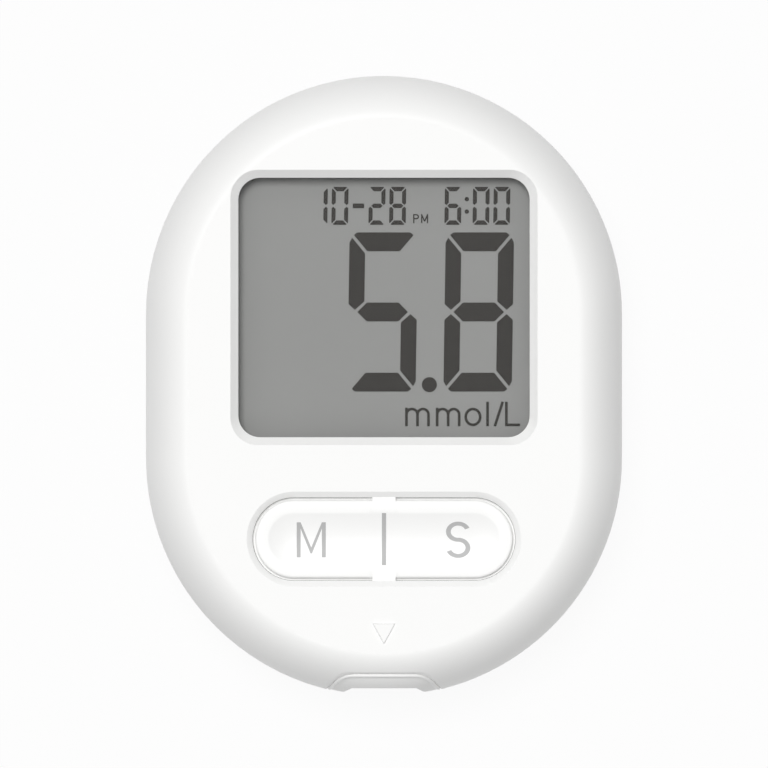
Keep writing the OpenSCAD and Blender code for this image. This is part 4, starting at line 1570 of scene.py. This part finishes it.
    def build_bead(self) -> None:
        """Draws the port's rolled upper edge along the arch. Its ends sink in."""
        radius, sunk = self.bead
        along, round_it = self.bead_steps
        half, inner = ARCH.flat / 2, ARCH.shoulder - radius
        right = [(half * i / along, ARCH.top - radius) for i in range(along)]
        right += [
            (half + inner * math.sin(turn), ARCH.top - ARCH.shoulder + inner * math.cos(turn))
            for turn in turns(0, 45, round_it)
        ]
        end_x, end_y = right[-1]
        right += [(end_x + way, end_y - way) for way in self.bead_ends]
        points = [
            self.on_nose(x, y, sunk + (radius - sunk) * max(0.0, end_y - y))
            for x, y in [(-x, y) for x, y in reversed(right[1:])] + right
        ]
        mount(draw_wire("port_bead", points, 2 * radius, SHELL), "case")

    def build(self) -> None:
        """Builds the covers and the port."""
        self.build_front()
        self.build_rear()
        self.build_port()
        self.build_bead()


@dataclass
class Arrow:
    """The raised arrow that points to the strip port.

    Attributes:
        width: Width at its foot.
        height: Height of the triangle at its foot.
        tip: Y of its point.
        tip_share: Width of the blunt point, as a share of the width.
        foot: Height of the cover's face.
        rise: How far it stands out.
        slope: How far its sides lean in.
        sunk: How deep it runs into the cover.
    """

    width: float = 3.3
    height: float = 2.85
    tip: float = -35.6
    tip_share: float = 0.06
    foot: float = 22.0
    rise: float = 0.25
    slope: float = 0.16
    sunk: float = 0.5

    def form(self) -> Form:
        """Models the arrow.

        Returns:
            The arrow, with its foot sunk into the cover.
        """
        top, third = self.tip + self.height, self.height / 3
        high = self.foot + self.rise
        levels = (self.foot - self.sunk, high)
        form = Form("arrow").block(Block(self.width, (self.tip, top), levels))
        form.taper(Axis.Y, -1, (self.tip_share, 1, 1), (0, self.tip, 0))
        form.slice([self.foot], Axis.Z)
        lean = 1 - self.slope / third
        return form.taper(Axis.Z, 1, (lean, lean, 1), (0, top - third, high))


# ---------------------------------------------------------------- keys


@dataclass
class Keypad:
    """The pill-shaped pair of keys on their fixed bridge.

    Attributes:
        at: Centre of the pill.
        length: Length of the pill.
        width: Width of the pill.
        top: Height of its rim.
        plate: Thickness.
        edge: Radius of the rounded edge.
        edge_steps: Steps round that edge.
        rim: Width of the flat rim.
        dish: Depth of the dish.
        dish_steps: Shares of the dish's radius where it has a ring.
        gap: Gap round the pill.
        skirt: How far the skirt under the gap reaches out, and how deep it lies.
        band: Width and depth of the sloping band round the gap.
        bridge: Width of the fixed bridge.
        strap: Where the bridge's straps start and end, from the opening's edge outwards.
        tab: The same of the tabs under the cover.
        tab_levels: Lowest and highest Z of the tabs.
        tab_hole: Radius of the hole in a tab, and its distance from the opening's edge.
        hinge: Places, from the middle, where a key starts and ends to bend.
        hinge_steps: Facets in which it bends.
        nub: Radius of the nub that presses the switch, and its distance from the middle.
        nub_levels: Lowest and highest Z of the nub.
    """

    at: Pair = (0.0, -21.13)
    length: float = 35.6
    width: float = 10.78
    top: float = 21.55
    plate: float = 1.5
    edge: float = 0.35
    edge_steps: int = 4
    rim: float = 1.7
    dish: float = 0.35
    dish_steps: tuple[float, ...] = (1, 0.93, 0.85, 0.75, 0.6, 0.45, 0.3, 0.15, 0.05)
    gap: float = 0.36
    skirt: Pair = (0.32, 1.0)
    band: Pair = (0.8, 0.52)
    bridge: float = 3.2
    strap: Pair = (-1.6, 0.03)
    tab: Pair = (-1.0, 2.6)
    tab_levels: Pair = (19.3, 20.2)
    tab_hole: Pair = (0.65, 1.3)
    hinge: Pair = (1.35, 2.05)
    hinge_steps: int = 6
    nub: Pair = (1.2, 10.2)
    nub_levels: Pair = (19.35, 20.1)

    @property
    def outline(self) -> Outline:
        """Returns the pill's outline."""
        return Outline(self.length, self.width, self.width / 2, self.at, 2 * CORNER_SEGMENTS)

    def opening_tool(self) -> Form:
        """Makes the tool that opens the front cover for the keys.

        Returns:
            The tool.
        """
        wide, deep = self.band
        face = Case.thickness
        return Form("key_tool").loft(self.outline, [
            Ring(self.gap, face - 3 * OVER), Ring(self.gap, face - deep),
            Ring(self.gap + wide, face), Ring(self.gap + wide, face + OVER),
        ])

    def plate_form(self, name: str) -> Form:
        """Lofts the whole pill with its rounded edge, flat rim and shallow dish.

        Args:
            name: Name of the piece.

        Returns:
            The pill.
        """
        half = self.width / 2
        reach, deep = self.skirt
        steps = [(reach, -self.plate), (reach, -deep), (0, -deep)]
        steps += [
            (self.edge * (math.cos(turn) - 1), self.edge * (math.sin(turn) - 1))
            for turn in turns(0, 90, self.edge_steps)
        ]
        steps += [
            ((half - self.rim) * share - half, -self.dish * (1 - share**2))
            for share in self.dish_steps
        ]
        return Form(name).loft(self.outline, [Ring(grow, self.top + up) for grow, up in steps])

    def beyond(self, end: int, *ways: float) -> tuple[float, ...]:
        """Finds places along Y by their distance from the opening's edge.

        Args:
            end: 1 for the opening's upper edge, -1 for its lower one.
            ways: How far outside the edge they lie.

        Returns:
            The places.
        """
        reach = self.width / 2 + self.gap
        return tuple(self.at[1] + end * (reach + way) for way in ways)

    def half(self, name: str, side: int, letter: str) -> bpy.types.Object:
        """Builds one key with its half of the bridge.

        Args:
            name: Name of the piece.
            side: -1 for the left key, 1 for the right one.
            letter: The key's letter in the bodies' names; not used.

        Returns:
            The finished key.
        """
        form = self.plate_form(name)
        strap_levels = (self.top - self.plate, self.top)
        hole_levels = (self.tab_levels[0] - OVER, self.tab_levels[1] + OVER)
        radius, way = self.tab_hole
        for end in (-1, 1):
            strap = Block(self.bridge, self.beyond(end, *self.strap), strap_levels)
            tab = Block(self.bridge, self.beyond(end, *self.tab), self.tab_levels)
            hole = Form("hole").rod(radius, (0, *self.beyond(end, way)), hole_levels)
            form.join(Form("strap").block(strap)).join(Form("tab").block(tab).cut(hole))
        radius, away = self.nub
        form.join(Form("nub").rod(radius, (side * away, self.at[1]), self.nub_levels))
        form.halve(side)
        start, end = self.hinge
        shares = [i / self.hinge_steps for i in range(self.hinge_steps + 1)]
        form.slice([side * (start + (end - start) * share) for share in shares])
        ob = form.finish(KEY_SKIN, "shell_white")
        middle = self.at[1] * MM
        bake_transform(ob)
        return ob

    def build(self) -> None:
        """Builds both keys and their prints."""
        left = self.half("m_key_pad", -1, "m")
        right = self.half("s_key_pad", 1, "s")
        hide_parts("m_key", "key_bridge")
        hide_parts("s_key")
        Legends(self).build(left, right)


@dataclass
class Legends:
    """The letters on the keys and the bar between them.

    Attributes:
        keypad: The keys that carry them.
        line: Width of a stroke.
        cover: Thickness of the ink.
        above: Height over the keys at which they are drawn.
        pitch: Distance between the cuts that let them follow the dish.
        m_at: Centre of the M.
        m_size: Width and height of the M.
        m_joint: Height of the V's strokes where they leave the uprights.
        m_vee: Depth of the V's inner and outer point under the top.
        s_at: Centre of the S.
        s_size: Width and height of the S.
        s_turn: How far each bowl of the S turns, in degrees.
        s_steps: Steps round such a bowl.
        bar_size: Width and height of the bar.
    """

    keypad: Keypad
    line: float = 0.54
    cover: float = 0.012
    above: float = 0.5
    pitch: float = 0.25
    m_at: Pair = (-10.05, -21.23)
    m_size: Pair = (4.02, 4.84)
    m_joint: float = 0.85
    m_vee: Pair = (3.5, 4.55)
    s_at: Pair = (10.24, -21.22)
    s_size: Pair = (3.36, 5.0)
    s_turn: float = 248
    s_steps: int = 26
    bar_size: Pair = (0.58, 7.2)

    @property
    def level(self) -> float:
        """Returns the height at which the prints are drawn."""
        return self.keypad.top + self.above

    def letter_m(self) -> Form:
        """Models the M from two upright strokes and a V between them.

        Returns:
            The letter, flat above the keys.
        """
        wide, high = self.m_size
        left, top = self.m_at[0] - wide / 2, self.m_at[1] + high / 2
        joint = top - self.m_joint
        form = Form("m_letter")
        form.flat((left + self.line / 2, self.m_at[1], self.level), (self.line, high))
        form.slice([joint], Axis.Y)
        form.pick_edges(lambda one, other: (
            min(one.x, other.x) > left + MERGE and min(one.y, other.y) > joint - MERGE
        ))
        half = wide / 2 - self.line
        for step in (half, half, self.line):
            bpy.ops.mesh.extrude_region_move(TRANSFORM_OT_translate={"value": (step, 0, 0)})
        form.pick_edges(lambda one, other: (
            min(one.x, other.x) > left + wide / 2 + MERGE and max(one.y, other.y) < joint + MERGE
        ))
        down = {"value": (0, self.m_joint - high, 0)}
        bpy.ops.mesh.extrude_region_move(TRANSFORM_OT_translate=down)
        inner, outer = self.m_vee
        for level, drop in ((top, inner), (joint, outer - self.m_joint)):
            form.pick_points(
                lambda spot: math.hypot(spot.x - self.m_at[0], spot.y - level) < MERGE
            )
            bpy.ops.transform.translate(value=(0, -drop, 0))
        bpy.ops.mesh.bevel(offset=self.line / 2, affect="VERTICES", clamp_overlap=False)
        return form

    def letter_s(self) -> Form:
        """Models the S by spinning a stroke about its upper bowl, and turning a copy.

        Returns:
            The letter, flat above the keys.
        """
        x, y = self.s_at
        middle = (x, y, self.level)
        wide, high = self.s_size
        outer = (high + self.line) / 4
        form = Form("s_letter")
        form.flat(middle, (0, self.line))
        bpy.ops.mesh.remove_doubles(threshold=MERGE)
        bpy.ops.mesh.spin(
            steps=self.s_steps, angle=math.radians(self.s_turn),
            center=(x, y + outer - self.line / 2, self.level), axis=(0, 0, 1),
        )
        bpy.ops.mesh.select_all(action="SELECT")
        bpy.ops.mesh.duplicate()
        bpy.ops.transform.rotate(value=math.pi, orient_axis="Z", center_override=middle)
        bpy.ops.mesh.select_all(action="SELECT")
        stretch = (wide / (2 * outer), 1, 1)
        bpy.ops.transform.resize(value=stretch, center_override=middle)
        return form

    def settle(self, form: Form, target: bpy.types.Object, body: str) -> None:
        """Wraps a print on the dished keys and makes it ride with them.

        Args:
            form: The flat print.
            target: The key under it.
            body: The body that it rides on.
        """
        bpy.ops.mesh.select_all(action="SELECT")
        bpy.ops.mesh.remove_doubles(threshold=MERGE)
        reach = int(max(self.s_size[1], self.bar_size[1]) / 2 / self.pitch) + 1
        steps = range(-reach, reach + 1)
        form.slice([self.keypad.at[1] + self.pitch * i for i in steps], Axis.Y)
        form.recalculate().settle(target, self.cover)
        mount(form.finish(LEGEND, "switch_grey"), body)

    def build(self, left: bpy.types.Object, right: bpy.types.Object) -> None:
        """Builds the letters and the bar.

        Args:
            left: The left key.
            right: The right key.
        """
        self.settle(self.letter_m(), left, "m_key")
        self.settle(self.letter_s(), right, "s_key")
        wide, high = self.bar_size
        x, y = self.keypad.at
        for name, side, key in (("key_bar_left", -1, left), ("key_bar_right", 1, right)):
            bar = Form(name)
            bar.flat((x + side * wide / 4, y, self.level), (wide / 2, high))
            self.settle(bar, key, "case")


# ---------------------------------------------------------------- inside


@dataclass
class Display:
    """The clear window and the display behind it."""

    def build(self) -> None:
        """Dresses the window, its gasket and the display's layers."""
        dress_nodes(PANE, "display_window")
        # The gasket's pale tone is painted light that lightens the shade at the display's edges.
        dress_nodes(SHADE_LIFTING_FOAM, "window_gasket")
        dress_nodes(FRAME_WHITE, "lcd_frame", rounding=0.1)
        dress_nodes(MIRROR, "lcd_reflector")
        dress_nodes(FILM, "lcd_rear_glass")
        dress_nodes(LIT, "lcd_segments")
        dress_nodes(FRONT_GLASS, "lcd_front_glass")
        dress_nodes(ZEBRA, "zebra_connectors")


@dataclass
class Board:
    """The circuit board and what is soldered to it."""

    def build(self) -> None:
        """Dresses the board, its chips, switches, strip connector and the screws."""
        dress_nodes(BOARD, "main_board")
        dress_nodes(EPOXY, "microcontroller", "memory_chip")
        dress_nodes(NICKEL, "board_crystal")
        dress_nodes(BRASS, "buzzer")
        dress_nodes(SWITCH, "m_switch", "s_switch", rounding=0.08)
        dress_nodes(PLUNGER, "m_plunger", "s_plunger")
        dress_nodes(FRAME_WHITE, "strip_connector", rounding=0.06)
        dress_nodes(GOLD, "strip_contacts")
        dress_nodes(STEEL, "board_screws", "case_screws")


@dataclass
class Cell:
    """One AAA cell with rolled ends, a printed wrap and its button.

    Attributes:
        name: Name of the piece.
        node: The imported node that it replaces.
        lean: Which way the button points.
        foot: Radius and height of the profile's points at the flat end, from that end.
        head: The same at the button end, from the upper end of the can.
        band: Length of the wrap's band at the button end.
        bare: Radius inside which an end is bare metal.
    """

    name: str
    node: str
    lean: Lean
    foot: tuple[Pair, ...] = (
        (3.6, 0.12), (3.8, 0.0), (4.7, 0.0), (4.9, 0.1), (5.0, 0.25), (5.25, 0.45),
    )
    head: tuple[Pair, ...] = (
        (5.25, -0.45), (5.0, -0.12), (4.6, 0.0), (4.2, -0.15), (3.4, -0.35),
        (2.15, -0.3), (1.9, -0.1), (1.9, 0.7), (1.7, 0.9),
    )
    band: float = 13.0
    bare: float = 4.65

    def build(self) -> None:
        """Lofts the can from its profile, lays it down and dresses it."""
        low, high = (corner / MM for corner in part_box(self.node))
        side = self.lean.value
        middle = (low + high) / 2
        start, end = (low.y, high.y)[::side]
        radius = self.foot[-1][0]
        tall = self.head[-1][1]
        can = high.y - low.y - tall
        profile = [*self.foot, *((away, can + up) for away, up in self.head)]
        form = Form(self.name)
        form.loft(circle(radius), [Ring(away - radius, up) for away, up in profile])
        bpy.ops.mesh.select_all(action="SELECT")
        turn = side * math.pi / 2
        bpy.ops.transform.rotate(value=turn, orient_axis="X", center_override=ORIGIN)
        bpy.ops.transform.translate(value=(middle.x, start, middle.z))
        form.recalculate()
        wrap = CellWrap(f"{self.name}_wrap", end - side * (tall + self.band), side)
        ob = form.finish(wrap, "cell_wrap")
        ob.data.materials.append(NICKEL.material())
        for face in ob.data.polygons:
            away = math.hypot(face.center.x / MM - middle.x, face.center.z / MM - middle.z)
            face.material_index = int(away < self.bare)
        mount(ob, "case", self.node)


@dataclass
class CellSpring:
    """A conical battery spring of round wire.

    Attributes:
        name: Name of the piece.
        lean: Which way it winds from its plate.
        wide: Radius of the first turn.
        narrow: Radius of the last turn.
        turns: Number of turns.
        wire: Diameter of the wire.
        length: Pressed length.
        cell_x: Distance of its cell from the middle.
        steps: Points in one turn.
    """

    name: str
    lean: Lean
    wide: float = 3.4
    narrow: float = 2.2
    turns: float = 3.5
    wire: float = 0.5
    length: float = 3.55
    cell_x: float = 5.45
    steps: int = 24

    def build(self) -> None:
        """Draws the wire's path from its formula and rounds it."""
        low, high = (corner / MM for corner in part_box("battery_springs"))
        side = self.lean.value
        start = low.y if side > 0 else high.y
        height = (low.z + high.z) / 2
        count = int(self.turns * self.steps)
        points = []
        for i in range(count + 1):
            share = i / count
            turn = math.tau * i / self.steps
            radius = self.wide + (self.narrow - self.wide) * share
            along = self.wire / 2 + (self.length - self.wire) * share
            points.append(Vector((
                side * (self.cell_x + radius * math.cos(turn)),
                start + side * along,
                height + radius * math.sin(turn),
            )))
        ob = draw_wire(self.name, points, self.wire, SPRING_WIRE)
        mount(ob, "case", "battery_springs")


@dataclass
class BatteryBay:
    """The cells with their springs and plates, and the door that closes the bay."""

    def build(self) -> None:
        """Builds the cells and springs, and dresses the plates, door and latch."""
        Cell("battery_left_cell", "battery_left", Lean.DOWN).build()
        Cell("battery_right_cell", "battery_right", Lean.UP).build()
        CellSpring("battery_spring_lower", Lean.UP).build()
        CellSpring("battery_spring_upper", Lean.DOWN).build()
        dress_nodes(NICKEL, "contact_plus", "contact_minus", "contact_link", rounding=0.05)
        dress_nodes(SHELL, "battery_door", rounding=0.12)
        dress_nodes(SHELL, "door_latch", rounding=0.08)


# ---------------------------------------------------------------- studio


@dataclass
class Studio:
    """Floor, light and camera.

    Attributes:
        reach: Half size of the floor.
        floor_z: Height of the floor, just under the rest face.
        sky: Strength of the light from all round.
        key: Strength of the large soft lamp.
        key_angle: How wide that lamp looks, in degrees.
        key_from: Where that lamp stands, from the object.
        sensor: Width of the camera's sensor, in its own millimetres.
        frame_width: Width of what the camera sees at the rest face, in metres.
        away: Height of the camera.
        sight: How far the camera sees.
        aim: Where the camera looks, in millimetres.
    """

    reach: float = 3.0
    floor_z: float = -0.0002
    sky: float = 0.36
    key: float = 1.95
    key_angle: float = 24
    key_from: tuple[float, float, float] = (-0.12, 0.22, 0.968)
    sensor: float = 36.0
    frame_width: float = 0.10683
    away: float = 3.0
    sight: float = 40.0
    aim: Pair = (0.0, 0.29)

    def build_floor(self) -> None:
        """Adds the floor."""
        bpy.ops.object.select_all(action="DESELECT")
        bpy.ops.mesh.primitive_plane_add(size=2 * self.reach, location=(0, 0, self.floor_z))
        floor = bpy.context.view_layer.objects.active
        floor.name = "studio_floor"
        floor.data.materials.append(StudioWhite("studio_white").material())

    def build_world(self) -> None:
        """Gives the world its light and, for the camera, its white."""
        world = bpy.data.worlds.new("studio_world")
        bpy.context.scene.world = world
        shader = Shader(world)
        dim, bright = (
            shader.node("ShaderNodeBackground", inputs={"Color": PURE_WHITE, "Strength": strength})
            for strength in (self.sky, 1.0)
        )
        shader.close(shader.blend(shader.seen(), dim, bright))

    def build_lamp(self) -> None:
        """Adds the large soft lamp, high on the upper left."""
        lamp = bpy.data.lights.new("soft_lamp", "SUN")
        lamp.energy = self.key
        lamp.angle = math.radians(self.key_angle)
        ob = add_object("soft_lamp", lamp)
        ob.location = self.key_from
        ob.rotation_euler = Vector(self.key_from).to_track_quat("Z", "Y").to_euler()

    def build_camera(self) -> None:
        """Adds the camera, straight above the display."""
        camera = bpy.data.cameras.new("camera")
        camera.sensor_width = self.sensor
        camera.lens = self.sensor * self.away / self.frame_width
        camera.clip_end = self.sight
        ob = add_object("camera", camera)
        ob.location = (self.aim[0] * MM, self.aim[1] * MM, self.away)
        bpy.context.scene.camera = ob

    def build(self) -> None:
        """Builds the floor, light and camera."""
        self.build_floor()
        self.build_world()
        self.build_lamp()
        self.build_camera()
        bpy.context.scene.view_settings.view_transform = "Standard"


def main() -> None:
    """Builds every sub-assembly in order."""
    logging.basicConfig(level=logging.INFO, format="%(name)s %(message)s")
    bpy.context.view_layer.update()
    for assembly in (Case(), Keypad(), Display(), Board(), BatteryBay(), Studio()):
        assembly.build()
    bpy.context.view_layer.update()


if __name__ == "__main__":
    main()
